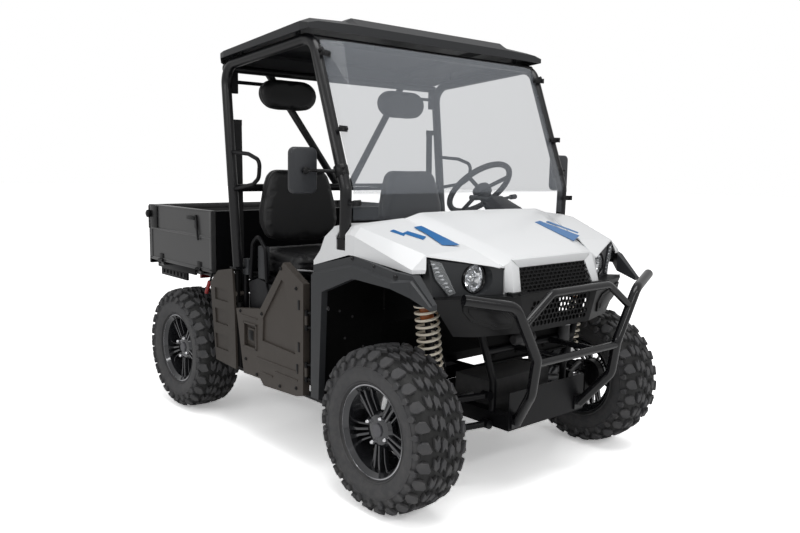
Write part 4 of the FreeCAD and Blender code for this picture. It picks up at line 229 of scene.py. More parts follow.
def tube_along(bm, points, radius, sides=12, closed=False):
    """A round bar swept along points."""
    points = [Vector(point) for point in points]
    count = len(points)
    rings, sideways = [], None
    for index, point in enumerate(points):
        before = points[index - 1] if index or closed else point
        after = points[(index + 1) % count] if index < count - 1 or closed else point
        heading = (after - before).normalized()
        if sideways is None:
            sideways = heading.orthogonal()
        else:
            sideways = sideways - heading * sideways.dot(heading)
        sideways = sideways.normalized()
        made = bmesh.ops.create_circle(bm, segments=sides, radius=radius, cap_ends=False)["verts"]
        turn = Matrix((sideways, heading.cross(sideways), heading)).transposed().to_4x4()
        bmesh.ops.transform(bm, matrix=Matrix.Translation(point) @ turn, verts=made)
        rings.append(list(made))
    pairs = list(zip(rings, rings[1:])) + ([(rings[-1], rings[0])] if closed else [])
    for first, second in pairs:
        for step in range(sides):
            follow = (step + 1) % sides
            bm.faces.new((first[step], first[follow], second[follow], second[step]))
    if not closed:
        bm.faces.new(rings[0])
        bm.faces.new(rings[-1])


def piece(bm, name, body, finish, smooth_to=35.0):
    """Turns a bmesh into a finished object that rides on its body."""
    bmesh.ops.remove_doubles(bm, verts=bm.verts, dist=0.00002)
    bmesh.ops.recalc_face_normals(bm, faces=bm.faces)
    mesh = bpy.data.meshes.new(name)
    bm.to_mesh(mesh)
    bm.free()
    mesh.shade_smooth()
    mesh.set_sharp_from_angle(angle=math.radians(smooth_to))
    mesh.materials.append(bpy.data.materials[finish])
    made = bpy.data.objects.new(name, mesh)
    bpy.context.scene.collection.objects.link(made)
    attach(made, body)
    return made


# Each form takes a row of a table: points in millimetres on the left side, and shifts,
# radii, roundings and profiles in metres
FORMS = {
    "blocks": lambda bm, sign, low, high, round_by=0.0:
        block(bm, *spots((low, high), sign), round_by),
    "plates": lambda bm, sign, corners, shift, round_by=0.0:
        slab(bm, spots(corners, sign), facing(shift, sign), round_by),
    "lofts": lambda bm, sign, near, far, round_by=0.0:
        loft(bm, spots(near, sign), spots(far, sign), round_by),
    "bars": lambda bm, sign, points, radius, sides:
        tube_along(bm, spots(points, sign), radius, sides),
    "turnings": lambda bm, sign, profile, centre, axis, steps:
        turned(bm, profile, *spots([centre], sign), facing(axis, sign), steps),
    "bolts": lambda bm, sign, centre, axis, radius, height:
        bolt_head(bm, *spots([centre], sign), facing(axis, sign), radius, height),
}


def make(name, body, slot, finish, signs=(1,), smooth_to=35.0, **tables):
    """One piece from tables of forms, built once for each sign."""
    bm = bmesh.new()
    for sign in signs:
        for kind, rows in tables.items():
            for row in rows:
                FORMS[kind](bm, sign, *row)
    return piece(bm, name, body, finish, smooth_to)


# Shader helpers


def feed(tree, node, inputs):
    """Feeds the inputs of a shader node with sockets or values."""
    for key, value in inputs.items():
        if isinstance(value, bpy.types.NodeSocket):
            tree.links.new(value, node.inputs[key])
        else:
            node.inputs[key].default_value = value


def add(tree, kind, inputs=None, **settings):
    """Adds a shader node with its settings and its inputs."""
    made = tree.nodes.new(kind)
    for key, value in settings.items():
        setattr(made, key, value)
    feed(tree, made, inputs or {})
    return made


def sums(tree, operation, first, second, kind="ShaderNodeMath"):
    """The result of one operation on two sockets or values."""
    return add(tree, kind, {0: first, 1: second}, operation=operation).outputs[0]


def remap(tree, value, source=(0.0, 1.0), target=(0.0, 1.0)):
    """A value carried from one range to another."""
    return add(tree, "ShaderNodeMapRange",
               {"Value": value, "From Min": source[0], "From Max": source[1],
                "To Min": target[0], "To Max": target[1]}).outputs[0]


def noise(tree, place, scale, detail, roughness):
    """Cloudy noise round one half."""
    return add(tree, "ShaderNodeTexNoise", {"Vector": place, "Scale": scale, "Detail": detail,
                                            "Roughness": roughness}).outputs["Fac"]


def height_of(tree, place):
    """The height of a place in the object's own coordinates."""
    return add(tree, "ShaderNodeSeparateXYZ", {0: place}).outputs["Z"]


def shader_group(name, inputs, outputs):
    """An empty shader group; returns the tree, the sockets of its way in and its way out."""
    tree = bpy.data.node_groups.new(name, "ShaderNodeTree")
    for label, kind, value in inputs:
        socket = tree.interface.new_socket(label, in_out="INPUT",
                                           socket_type=f"NodeSocket{kind}")
        if value is not None:
            socket.default_value = value
    for label, kind in outputs:
        tree.interface.new_socket(label, in_out="OUTPUT", socket_type=f"NodeSocket{kind}")
    return tree, tree.nodes.new("NodeGroupInput").outputs, tree.nodes.new("NodeGroupOutput")


def make_grain_group():
    """Moulded grain: a fine pebbled height."""
    tree, given, way_out = shader_group(
        "Moulded grain", [("Vector", "Vector", None), ("Scale", "Float", 900.0)],
        [("Height", "Float")])
    pebbles = add(tree, "ShaderNodeTexVoronoi",
                  {"Vector": given["Vector"], "Scale": given["Scale"]}, feature="SMOOTH_F1")
    wander = noise(tree, given["Vector"], given["Scale"], 3.0, 0.5)
    feed(tree, way_out, {"Height": sums(tree, "ADD", pebbles.outputs["Distance"], wander)})


def make_mottle_group():
    """Slow variation of a colour and of gloss over a surface."""
    tree, given, way_out = shader_group(
        "Surface mottle",
        [("Vector", "Vector", None), ("Color", "Color", (0.5, 0.5, 0.5, 1)),
         ("Scale", "Float", 6.0), ("Contrast", "Float", 0.08), ("Roughness", "Float", 0.5)],
        [("Color", "Color"), ("Roughness", "Float")])
    cloud = noise(tree, given["Vector"], given["Scale"], 6.0, 0.6)
    centred = sums(tree, "SUBTRACT", cloud, 0.5)
    factor = sums(tree, "ADD", sums(tree, "MULTIPLY", centred, given["Contrast"]), 1.0)
    feed(tree, way_out, {
        "Color": sums(tree, "MULTIPLY", given["Color"], factor, "ShaderNodeVectorMath"),
        "Roughness": sums(tree, "MULTIPLY", given["Roughness"], factor)})


def make_dust_group():
    """A light dust that lies thicker low down, in patches."""
    tree, given, way_out = shader_group(
        "Road dust",
        [("Vector", "Vector", None), ("Level", "Float", 0.2), ("Top", "Float", 0.6)],
        [("Mask", "Float")])
    low = remap(tree, height_of(tree, given["Vector"]), (0.0, given["Top"]), (1.0, 0.0))
    patches = remap(tree, noise(tree, given["Vector"], 22.0, 8.0, 0.7), (0.42, 0.75))
    both = sums(tree, "MULTIPLY", low, patches)
    feed(tree, way_out, {"Mask": sums(tree, "MULTIPLY", both, given["Level"])})


def group(tree, name, inputs):
    """Places a shared group in a material with its own values."""
    return add(tree, "ShaderNodeGroup", inputs, node_tree=bpy.data.node_groups[name]).outputs


def new_material(name):
    """A material with its surface shader and the object's own coordinates."""
    material = bpy.data.materials.new(name)
    material.use_nodes = True
    tree = material.node_tree
    place = add(tree, "ShaderNodeTexCoord").outputs["Object"]
    return material, tree, tree.nodes["Principled BSDF"], place


def mix_colour(tree, factor, first, second):
    """Mixes two colours; sockets 6 and 7 of the Mix node are its colours."""
    return add(tree, "ShaderNodeMix", {0: factor, 6: first, 7: second},
               data_type="RGBA").outputs[2]


def mottle_of(tree, place, colour, scale, contrast, roughness):
    """The varied colour and roughness of a surface."""
    return group(tree, "Surface mottle", {"Vector": place, "Color": (*colour, 1.0),
                                          "Scale": scale, "Contrast": contrast,
                                          "Roughness": roughness})


def surface(name, colour, roughness, contrast=0.1, mottle=8.0, grain=900.0, depth=0.05,
            dust=0.1, dust_top=0.7, metallic=0.0, coat=0.0, coat_roughness=0.05, level=0.5):
    """A solid finish: colour with slow variation, grain as bump, and dust low down."""
    material, tree, shader, place = new_material(name)
    mottled = mottle_of(tree, place, colour, mottle, contrast, roughness)
    dusty = group(tree, "Road dust", {"Vector": place, "Level": dust, "Top": dust_top})
    grained = group(tree, "Moulded grain", {"Vector": place, "Scale": grain})
    bump = add(tree, "ShaderNodeBump", {"Height": grained["Height"], "Strength": depth,
                                        "Distance": 0.001})
    feed(tree, shader, {
        "Base Color": mix_colour(tree, dusty["Mask"], mottled["Color"], DUST_COLOUR),
        "Roughness": mottled["Roughness"], "Normal": bump.outputs["Normal"],
        "Metallic": metallic, "Coat Weight": coat, "Coat Roughness": coat_roughness,
        "Specular IOR Level": level})
    return material


def clear_pane(name, tint, roughness, weight=0.92, fold=None):
    """A clear moulded pane; with a fold, the strip above that height is tinted more."""
    tree, shader, place = new_material(name)[1:]
    scuffed = mottle_of(tree, place, tint, 3.0, 0.05, roughness)
    alpha = 1.0 - weight
    if fold is not None:
        alpha = remap(tree, height_of(tree, place), (fold - 0.004, fold + 0.004),
                      (0.10, alpha))
    feed(tree, shader, {"Base Color": scuffed["Color"], "Roughness": scuffed["Roughness"],
                        "IOR": 1.49, "Alpha": alpha})


# The stage


class StageSettings(bpy.types.PropertyGroup):
    """The camera's place and lens, and the level of the studio's light."""

    place: FloatVectorProperty(name="Camera place", description="Where the camera stands",
                               default=(-2.5959, -3.113, 1.3571), subtype="TRANSLATION",
                               unit="LENGTH")
    yaw: FloatProperty(name="Yaw", description="Turn of the view from straight ahead",
                       default=0.7214, subtype="ANGLE")
    pitch: FloatProperty(name="Pitch", description="How far the view looks down",
                         default=0.1308, subtype="ANGLE")
    roll: FloatProperty(name="Roll", description="Tilt of the picture",
                        default=0.0176, subtype="ANGLE")
    lens: FloatProperty(name="Lens", description="Focal length in millimetres",
                        default=35.05, min=1.0)
    sky: FloatProperty(name="Sky level", description="Strength of the even studio light",
                       default=0.46, min=0.0)
    floor_glow: FloatProperty(name="Floor glow", description="Lift of the floor towards white",
                              default=0.26, min=0.0)
    floor_contrast: FloatProperty(name="Floor contrast", default=2.3, min=0.0,
                                  description="How strongly the floor shows the shadow")
    gloss: FloatProperty(name="Gloss level", description="How white the sky is in reflections",
                         default=0.3, min=0.0, max=1.0)
    key: FloatProperty(name="Key level", description="Power of the large lamp overhead",
                       default=85.0, min=0.0, unit="POWER")
    side: FloatProperty(name="Side level", description="Power of each strip lamp",
                        default=24.0, min=0.0, unit="POWER")


class UTV_OT_stage(bpy.types.Operator):
    """Make the floor, the studio light and the camera"""

    bl_idname = "utv.stage"
    bl_label = "Stage"

    floor_radius, floor_tone = 40.0, (0.95, 0.95, 0.95)
    # Length, share of it in width, place and aim of the large lamp and of the two strips
    key_lamp = (3.2, 0.7, (-0.6, -1.6, 4.6), (0.0, -0.2, 0.9))
    side_strip = (3.6, 0.07, (-4.4, -0.9, 2.9), (0.0, 0.0, 0.9))
    front_strip = (3.6, 0.07, (-0.6, -4.8, 3.1), (0.0, 0.0, 0.9))

    def execute(self, context):
        settings = context.scene.utv_stage
        self.make_floor(settings)
        self.make_world(settings)
        self.make_lamp("key_lamp", settings.key, *self.key_lamp)
        self.make_lamp("side_strip", settings.side, *self.side_strip)
        self.make_lamp("front_strip", settings.side, *self.front_strip)
        self.make_camera(settings)
        context.scene.view_settings.view_transform = "Standard"
        return {"FINISHED"}

    def make_floor(self, settings):
        """A pale floor whose camera look fades to white and keeps the shadow."""
        bm = bmesh.new()
        bmesh.ops.create_circle(bm, segments=96, radius=self.floor_radius, cap_ends=True)
        mesh = bpy.data.meshes.new("floor")
        bm.to_mesh(mesh)
        bm.free()
        floor = bpy.data.objects.new("floor", mesh)
        bpy.context.scene.collection.objects.link(floor)
        material, tree, shader, place = new_material("Studio floor")
        swept = mottle_of(tree, place, self.floor_tone, 2.0, 0.01, 0.9)
        rays = add(tree, "ShaderNodeLightPath").outputs
        deepen = remap(tree, rays["Is Camera Ray"], target=(1.0, settings.floor_contrast))
        lift = sums(tree, "MAXIMUM", rays["Is Camera Ray"], rays["Is Transmission Ray"])
        feed(tree, shader, {
            "Base Color": sums(tree, "MULTIPLY", swept["Color"], deepen,
                               "ShaderNodeVectorMath"),
            "Roughness": swept["Roughness"], "Specular IOR Level": 0.1,
            "Emission Color": (1.0, 1.0, 1.0, 1.0),
            "Emission Strength": sums(tree, "MULTIPLY", lift, settings.floor_glow)})
        mesh.materials.append(material)

    def make_world(self, settings):
        """An even sky of plain light, white to the camera and paler in reflections."""
        world = bpy.data.worlds.new("Studio")
        bpy.context.scene.world = world
        world.use_nodes = True
        tree = world.node_tree
        rays = add(tree, "ShaderNodeLightPath").outputs
        clear = sums(tree, "MAXIMUM", rays["Is Camera Ray"], rays["Is Transmission Ray"])
        gloss = sums(tree, "MULTIPLY", rays["Is Glossy Ray"], settings.gloss)
        seen = sums(tree, "MAXIMUM", clear, gloss)
        feed(tree, tree.nodes["Background"], {
            "Color": (1.0, 1.0, 1.0, 1.0),
            "Strength": remap(tree, seen, target=(settings.sky, 1.0))})

    def make_lamp(self, name, power, size, width_share, place, aim):
        """A rectangular soft lamp that looks at a point of the vehicle."""
        light = bpy.data.lights.new(name, "AREA")
        light.shape = "RECTANGLE"
        light.size = size
        light.size_y = size * width_share
        light.energy = power
        lamp = bpy.data.objects.new(name, light)
        lamp.location = place
        lamp.rotation_mode = "QUATERNION"
        lamp.rotation_quaternion = (Vector(aim) - Vector(place)).to_track_quat("-Z", "Y")
        bpy.context.scene.collection.objects.link(lamp)

    def make_camera(self, settings):
        """The camera at the photograph's viewing angle."""
        yaw, pitch = settings.yaw, settings.pitch
        ahead = Vector((math.sin(yaw) * math.cos(pitch), math.cos(yaw) * math.cos(pitch),
                        -math.sin(pitch)))
        level = Vector((math.cos(yaw), -math.sin(yaw), 0.0))
        up = level.cross(ahead)
        turn = Matrix.Rotation(-settings.roll, 3, ahead)
        basis = Matrix((turn @ level, turn @ up, -ahead)).transposed()
        data = bpy.data.cameras.new("camera")
        data.sensor_width = 36.0
        data.lens = settings.lens
        camera = bpy.data.objects.new("camera", data)
        camera.matrix_world = Matrix.Translation(Vector(settings.place)) @ basis.to_4x4()
        bpy.context.scene.collection.objects.link(camera)
        bpy.context.scene.camera = camera


# Finishes of the frame's nodes


class BodyColours(bpy.types.PropertyGroup):
    """The colours of the vehicle's panels and bars."""

    panel: FloatVectorProperty(name="Body panels", description="Hood and side panels",
                               default=(0.80, 0.81, 0.82), size=3, subtype="COLOR")
    flare: FloatVectorProperty(name="Flares and roof", description="Dark grey moulded parts",
                               default=(0.027, 0.029, 0.032), size=3, subtype="COLOR")
    door: FloatVectorProperty(name="Doors", description="Brown-grey door mouldings",
                              default=(0.053, 0.044, 0.037), size=3, subtype="COLOR")
    bed: FloatVectorProperty(name="Cargo bed", description="Painted steel of the bed",
                             default=(0.052, 0.052, 0.053), size=3, subtype="COLOR")
    bar: FloatVectorProperty(name="Bars and frame", description="Powder-coated steel",
                             default=(0.0055, 0.0055, 0.0065), size=3, subtype="COLOR")
    spring: FloatVectorProperty(name="Springs", description="Cream coil springs",
                                default=(0.88, 0.81, 0.68), size=3, subtype="COLOR")
    stripe: FloatVectorProperty(name="Hood stripes", description="Slanted stripes on the hood",
                                default=(0.006, 0.135, 0.38), size=3, subtype="COLOR")


class UTV_OT_finishes(bpy.types.Operator):
    """Make every finish and give it to the frame's nodes"""

    bl_idname = "utv.finishes"
    bl_label = "Finishes"

    # Near-black painted shade for the grooves between the tyres' lugs
    groove_shade_colour = (0.004, 0.004, 0.004, 1.0)
    nodes_of = {
        "Body panel": ("hood", "side_panels"),
        "Flare plastic": ("flares", "lamp_housings"),
        "Roof plastic": ("roof",),
        "Door plastic": ("door_left", "door_right"),
        "Door plastic with painted shade": ("quarter_panels",),
        "Bed paint": ("bed_side_left", "bed_side_right", "tailgate"),
        "Cage paint": ("rops_left", "rops_right", "rops_header", "rops_brace"),
        "Powder coat": ("bed_floor", "main_frame", "front_subframe", "rear_subframe",
                        "suspension_arms", "knuckle_left", "knuckle_right", "rear_carriers",
                        "headrest_arms", "hinge_lugs", "bolster_loops", "hitch",
                        "steering_column", "skid_plate"),
        "Gloss bar": ("bull_bar",),
        "Black moulding": ("front_fascia", "grilles", "dash", "seat_base", "mirrors"),
        "Well liner": ("inner_fenders", "floor_tub"),
        "Wheel rim grip": ("steering_wheel",),
        "Seat cover": ("seat_cushion_left", "seat_cushion_right", "seat_back_left",
                       "seat_back_right", "headrest_left", "headrest_right"),
        "Belt webbing": ("seat_belts",),
        "Lamp glass": ("headlamps",),
        "Tail lens": ("tail_lamps",),
        "Machined steel": ("half_shafts",),
        "Cast casing": ("drive_units", "battery"),
        "Tyre rubber with painted groove shade": tuple(f"tyre_{place}" for place in WHEELS),
        "Rim paint": tuple(f"rim_{place}" for place in WHEELS),
    }

    def execute(self, context):
        colours = context.scene.utv_colours
        make_grain_group()
        make_mottle_group()
        make_dust_group()
        self.make_panels(colours)
        self.make_metals(colours)
        self.make_soft()
        for finish, nodes in self.nodes_of.items():
            for name in nodes:
                self.give(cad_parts[name], bpy.data.materials[finish])
        return {"FINISHED"}

    def give(self, node, material):
        """Puts one material on every slot of a node's object."""
        for held in node.material_slots:
            held.material = material
        if not node.material_slots:
            node.data.materials.append(material)

    def make_panels(self, colours):
        """The moulded plastics and panes."""
        surface("Body panel", colours.panel, 0.32, contrast=0.03, mottle=3.0, depth=0.01,
                dust=0.03, coat=0.35, coat_roughness=0.08)
        surface("Flare plastic", colours.flare, 0.48, contrast=0.08, grain=700.0, depth=0.12)
        surface("Roof plastic", (0.011, 0.012, 0.014), 0.42, contrast=0.10, grain=700.0,
                depth=0.10)
        surface("Well liner", (0.0030, 0.0030, 0.0032), 0.6, contrast=0.2, grain=700.0,
                depth=0.1, dust=0.02, level=0.12)
        surface("Cab moulding", (0.014, 0.014, 0.016), 0.5, contrast=0.15, grain=700.0,
                depth=0.12, dust=0.03, level=0.3)
        surface("Mirror shell", (0.026, 0.028, 0.032), 0.42, contrast=0.1, grain=700.0,
                depth=0.1, dust=0.02)
        surface("Stripe film", colours.stripe, 0.3, contrast=0.05, depth=0.0, dust=0.0,
                coat=0.3)
        surface("Door plastic", colours.door, 0.55, contrast=0.10, grain=700.0, depth=0.15)
        # The door's plastic made darker for the quarter panels: painted shade
        surface("Door plastic with painted shade", (0.044, 0.037, 0.031), 0.55, contrast=0.10, grain=700.0,
                depth=0.15)
        surface("Black moulding", (0.0050, 0.0050, 0.0056), 0.36, contrast=0.12, grain=800.0,
                depth=0.08, dust=0.02, level=0.28)
        surface("Wheel rim grip", (0.007, 0.007, 0.008), 0.45, grain=1200.0, depth=0.2,
                dust=0.0, level=0.35)
        clear_pane("Tinted pane", (0.28, 0.30, 0.33), 0.05, weight=0.72, fold=PANE_FOLD)
        clear_pane("Lamp glass", (0.85, 0.88, 0.90), 0.03, weight=0.88)
        surface("Tail lens", (0.35, 0.01, 0.01), 0.15, contrast=0.05, depth=0.0, coat=0.6)

    def make_metals(self, colours):
        """The painted and bare metals."""
        surface("Bed paint", colours.bed, 0.34, contrast=0.12, mottle=5.0, grain=500.0,
                depth=0.03, dust=0.06, coat=0.25)
        surface("Powder coat", colours.bar, 0.34, contrast=0.15, grain=650.0, depth=0.06,
                dust=0.01, level=0.18)
        surface("Cage paint", colours.bar, 0.30, contrast=0.12, grain=600.0, depth=0.04,
                dust=0.0, level=0.45)
        surface("Damper orange", (0.36, 0.10, 0.02), 0.35, contrast=0.15, mottle=40.0,
                dust=0.1)
        surface("Gloss bar", colours.bar, 0.18, contrast=0.10, grain=500.0, depth=0.02,
                dust=0.0, coat=0.5, coat_roughness=0.05, level=0.2)
        surface("Spring paint", colours.spring, 0.35, contrast=0.10, mottle=30.0, depth=0.02,
                coat=0.3, dust=0.15)
        surface("Lamp chrome", (0.86, 0.87, 0.89), 0.10, contrast=0.08, mottle=60.0,
                depth=0.0, metallic=1.0, dust=0.0)
        surface("Lamp pearl", (0.80, 0.82, 0.85), 0.16, contrast=0.25, mottle=90.0,
                depth=0.0, metallic=0.35, coat=0.8, dust=0.0)
        surface("Machined steel", (0.45, 0.45, 0.46), 0.35, contrast=0.2, mottle=40.0,
                depth=0.05, metallic=1.0)
        surface("Cast casing", (0.045, 0.045, 0.047), 0.55, contrast=0.2, mottle=20.0,
                grain=400.0, depth=0.25, dust=0.2)
        surface("Bright steel", (0.75, 0.75, 0.77), 0.16, contrast=0.15, mottle=60.0,
                depth=0.01, metallic=1.0, dust=0.0)
        surface("Rim paint", (0.030, 0.031, 0.035), 0.14, contrast=0.12, mottle=20.0,
                depth=0.01, metallic=0.5, coat=1.0, dust=0.02)
        surface("Rim lip", (0.50, 0.50, 0.52), 0.22, contrast=0.1, depth=0.01, metallic=0.9,
                dust=0.0)
        surface("Hub cap", (0.10, 0.10, 0.11), 0.4, contrast=0.1, depth=0.05)
        # Near-black for the plates behind the grilles: painted shade inside the nose
        surface("Painted shade black", (0.003, 0.003, 0.003), 0.8, depth=0.0, dust=0.0)

    def paint_groove_shade(self, material):
        """Paints shade into the rubber's colour, near-black where the vertex attribute marks a
        groove.
        """
        tree = material.node_tree
        shader = tree.nodes["Principled BSDF"]
        source = shader.inputs["Base Color"].links[0].from_socket
        unshaded_share = add(tree, "ShaderNodeAttribute", attribute_name="unshaded_share")
        dark = mix_colour(tree, unshaded_share.outputs["Fac"], self.groove_shade_colour, source)
        feed(tree, shader, {"Base Color": dark})

    def make_soft(self):
        """Rubber, covers and webbing."""
        rubber = surface("Tyre rubber with painted groove shade", (0.046, 0.046, 0.049), 0.58, contrast=0.22,
                         mottle=14.0, grain=600.0, depth=0.22, dust=0.16, dust_top=1.2)
        # The rubber gets painted shade in its grooves
        self.paint_groove_shade(rubber)
        surface("Seat cover", (0.0062, 0.0062, 0.0070), 0.44, contrast=0.12, mottle=12.0,
                grain=420.0, depth=0.35, dust=0.0)
        surface("Seat piping", (0.42, 0.42, 0.43), 0.55, contrast=0.1, grain=500.0, depth=0.2,
                dust=0.0)
        surface("Belt webbing", (0.010, 0.010, 0.011), 0.7, grain=700.0, depth=0.4, dust=0.0)


# Tyres


class TyreSizes(bpy.types.PropertyGroup):
    """The tread and the carcass of the off-road tyres."""

    pitches: IntProperty(name="Pitches", description="Repeats of the tread round the tyre",
                         default=26, min=12)
    lug_rise: FloatProperty(name="Lug height", description="Height of the tread blocks",
                            default=0.0135, min=0.002, unit="LENGTH")
    bead_radius: FloatProperty(name="Bead radius", description="Where the tyre meets the rim",
                               default=0.181, unit="LENGTH")


class UTV_OT_tyres(bpy.types.Operator):
    """Build the four tyres with their zigzag tread and shoulder lugs"""

    bl_idname = "utv.tyres"
    bl_label = "Tyres"

    # Shares of the half width and of the rise from bead to tread, bead first
    carcass_shares = ((0.62, 0.0), (0.80, 0.03), (0.93, 0.14), (0.99, 0.32), (1.0, 0.48),
                      (0.975, 0.66), (0.92, 0.81), (0.84, 0.905), (0.72, 0.955),
                      (0.40, 0.985), (0.0, 1.0))
    # One pitch: outlines of the blocks, across as shares of the half width from the middle,
    # and along as shares of a pitch
    row_shares = (
        ((0.03, 0.00), (0.15, 0.22), (0.27, 0.00), (0.27, 0.56), (0.15, 0.78), (0.03, 0.56)),
        ((0.32, 0.34), (0.44, 0.12), (0.56, 0.34), (0.56, 0.90), (0.44, 0.68), (0.32, 0.90)),
        ((-0.27, 0.40), (-0.15, 0.62), (-0.03, 0.40), (-0.03, 0.96), (-0.15, 1.18),
         (-0.27, 0.96)),
        ((-0.56, 0.74), (-0.44, 0.52), (-0.32, 0.74), (-0.32, 1.30), (-0.44, 1.08),
         (-0.56, 1.30)),
    )
    shoulder_shares = ((0.62, 0.14), (0.70, 0.02), (0.90, -0.02), (1.03, 0.12), (1.08, 0.34),
                       (1.03, 0.56), (0.90, 0.66), (0.72, 0.60))
    side_shares = ((1.00, 0.70), (1.10, 0.60), (1.27, 0.78), (1.30, 0.84), (1.27, 0.92),
                   (1.10, 1.06), (1.00, 0.98))
    # The ribs' heights and places across, as the carcass has them, and a rib's section
    rib_places, rib_share = ((0.10, 0.925), (0.56, 1.0)), 0.016
    rib_shape = ((-2.0, -1.0), (-1.0, 0.6), (1.0, 0.6), (2.0, -1.0))
    # A lug's root, the shrink of its top and its bevel, as shares of its height and outline
    lug_root, lug_taper, lug_bevel = 0.6, 0.86, 0.18
    # Share of the crown's radius above which bare carcass gets painted groove shade, and the fade
    groove_from, groove_fade = 0.93, 0.06
    steps = 104

    def execute(self, context):
        sizes = context.scene.utv_tyres
        for place in WHEELS:
            self.build(sizes, place)
        return {"FINISHED"}

    def build(self, sizes, place):
        """One tyre: the turned carcass, then its blocks bent round it."""
        low, high, centre = span(f"tyre_{place}")
        radius, half = (high.z - low.z) / 2, (high.x - low.x) / 2
        bm = bmesh.new()
        crown = radius - sizes.lug_rise
        rise = crown - sizes.bead_radius
        side = [(sizes.bead_radius + up * rise, out * half) for out, up in self.carcass_shares]
        profile = side + [(r, -along) for r, along in reversed(side[:-1])]
        turned(bm, profile, centre, AXLE, self.steps)
        self.add_ribs(bm, centre, half, rise, sizes)
        blocks = bmesh.new()
        pitch = math.tau * radius / sizes.pitches
        for row in self.row_shares:
            self.add_lug(blocks, row, half, pitch, sizes.lug_rise)
        for sign in (1, -1):
            for outline in (self.shoulder_shares, self.side_shares):
                shifted = [(sign * out, along + (0.5 if sign < 0 else 0.0))
                           for out, along in outline]
                self.add_lug(blocks, shifted, half, pitch, sizes.lug_rise)
        self.wrap(blocks, centre, side, half, radius)
        bmesh.ops.spin(blocks, geom=everything(blocks), cent=centre, axis=AXLE,
                       dvec=(0, 0, 0), angle=math.tau * (1 - 1 / sizes.pitches),
                       steps=sizes.pitches - 1, use_duplicate=True)
        carcass = len(bm.verts)
        joined = bpy.data.meshes.new("lugs")
        blocks.to_mesh(joined)
        blocks.free()
        bm.from_mesh(joined)
        bpy.data.meshes.remove(joined)
        # Painted groove shade: the attribute is 1 on the lugs and the low sidewall, and falls to
        # 0 on the carcass between the lugs
        unshaded_share = bm.verts.layers.float.new("unshaded_share")
        for number, vert in enumerate(bm.verts):
            arm = math.hypot(vert.co.y - centre.y, vert.co.z - centre.z) / crown
            bare = min(1.0, max(0.0, (self.groove_from - arm) / self.groove_fade))
            vert[unshaded_share] = 1.0 if number >= carcass else bare
        made = piece(bm, f"tread_tyre_{place}", wheel_body(place), "Tyre rubber with painted groove shade")
        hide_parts(f"tyre_{place}")

    def add_ribs(self, bm, centre, half, rise, sizes):
        """Thin raised rings on both sidewalls, near the bead and under the shoulder."""
        thick = half * self.rib_share
        for sign in BOTH:
            for up, out in self.rib_places:
                radius = sizes.bead_radius + rise * up
                ring = [(radius + thick * away, sign * (out * half + thick * proud))
                        for away, proud in self.rib_shape]
                turned(bm, ring, centre, AXLE, self.steps)

    def add_lug(self, bm, outline, half, pitch, rise):
        """One tread block, flat: across in x, along in y, standing up in z."""
        corners = [bm.verts.new((out * half, along * pitch, -rise * self.lug_root))
                   for out, along in outline]
        face = bm.faces.new(corners)
        made = bmesh.ops.extrude_face_region(bm, geom=[face])["geom"]
        top_verts, tops = verts_in(made), faces_in(made)
        bmesh.ops.translate(bm, vec=(0, 0, rise * (1 + self.lug_root)), verts=top_verts)
        middle = sum((vert.co for vert in top_verts), Vector()) / len(top_verts)
        bmesh.ops.scale(bm, vec=(self.lug_taper, self.lug_taper, 1.0), verts=top_verts,
                        space=Matrix.Translation(-middle))
        rounded_edges(bm, [edge for top in tops for edge in top.edges],
                      rise * self.lug_bevel, 1)

    def wrap(self, bm, centre, side, half, radius):
        """Bends the flat blocks down the crown and round the tyre."""
        reach = [Vector((along, r)) for r, along in reversed(side)]
        runs = [0.0]
        for first, second in zip(reach, reach[1:]):
            runs.append(runs[-1] + (second - first).length)
        for vert in bm.verts:
            across, along, lift = vert.co
            far = abs(across)
            step = max(1, min(sum(1 for run in runs if run <= far), len(runs) - 1))
            first, second = reach[step - 1], reach[step]
            share = (far - runs[step - 1]) / (runs[step] - runs[step - 1])
            heading = (second - first).normalized()
            place = first.lerp(second, share) + Vector((-heading.y, heading.x)) * lift
            angle = along / radius
            sign = 1 if across >= 0 else -1
            vert.co = (centre.x + sign * place.x, centre.y + math.sin(angle) * place.y,
                       centre.z + math.cos(angle) * place.y)


# Rims


class RimSizes(bpy.types.PropertyGroup):
    """The cast rims."""

    spokes: IntProperty(name="Spokes", description="Split spokes on each rim", default=5,
                        min=3)
    bolt_circle: FloatProperty(name="Bolt circle", description="Radius of the lug nuts' circle",
                               default=0.058, unit="LENGTH")
    nut_radius: FloatProperty(name="Nut radius", description="Radius of the lug nuts",
                              default=0.0105, unit="LENGTH")


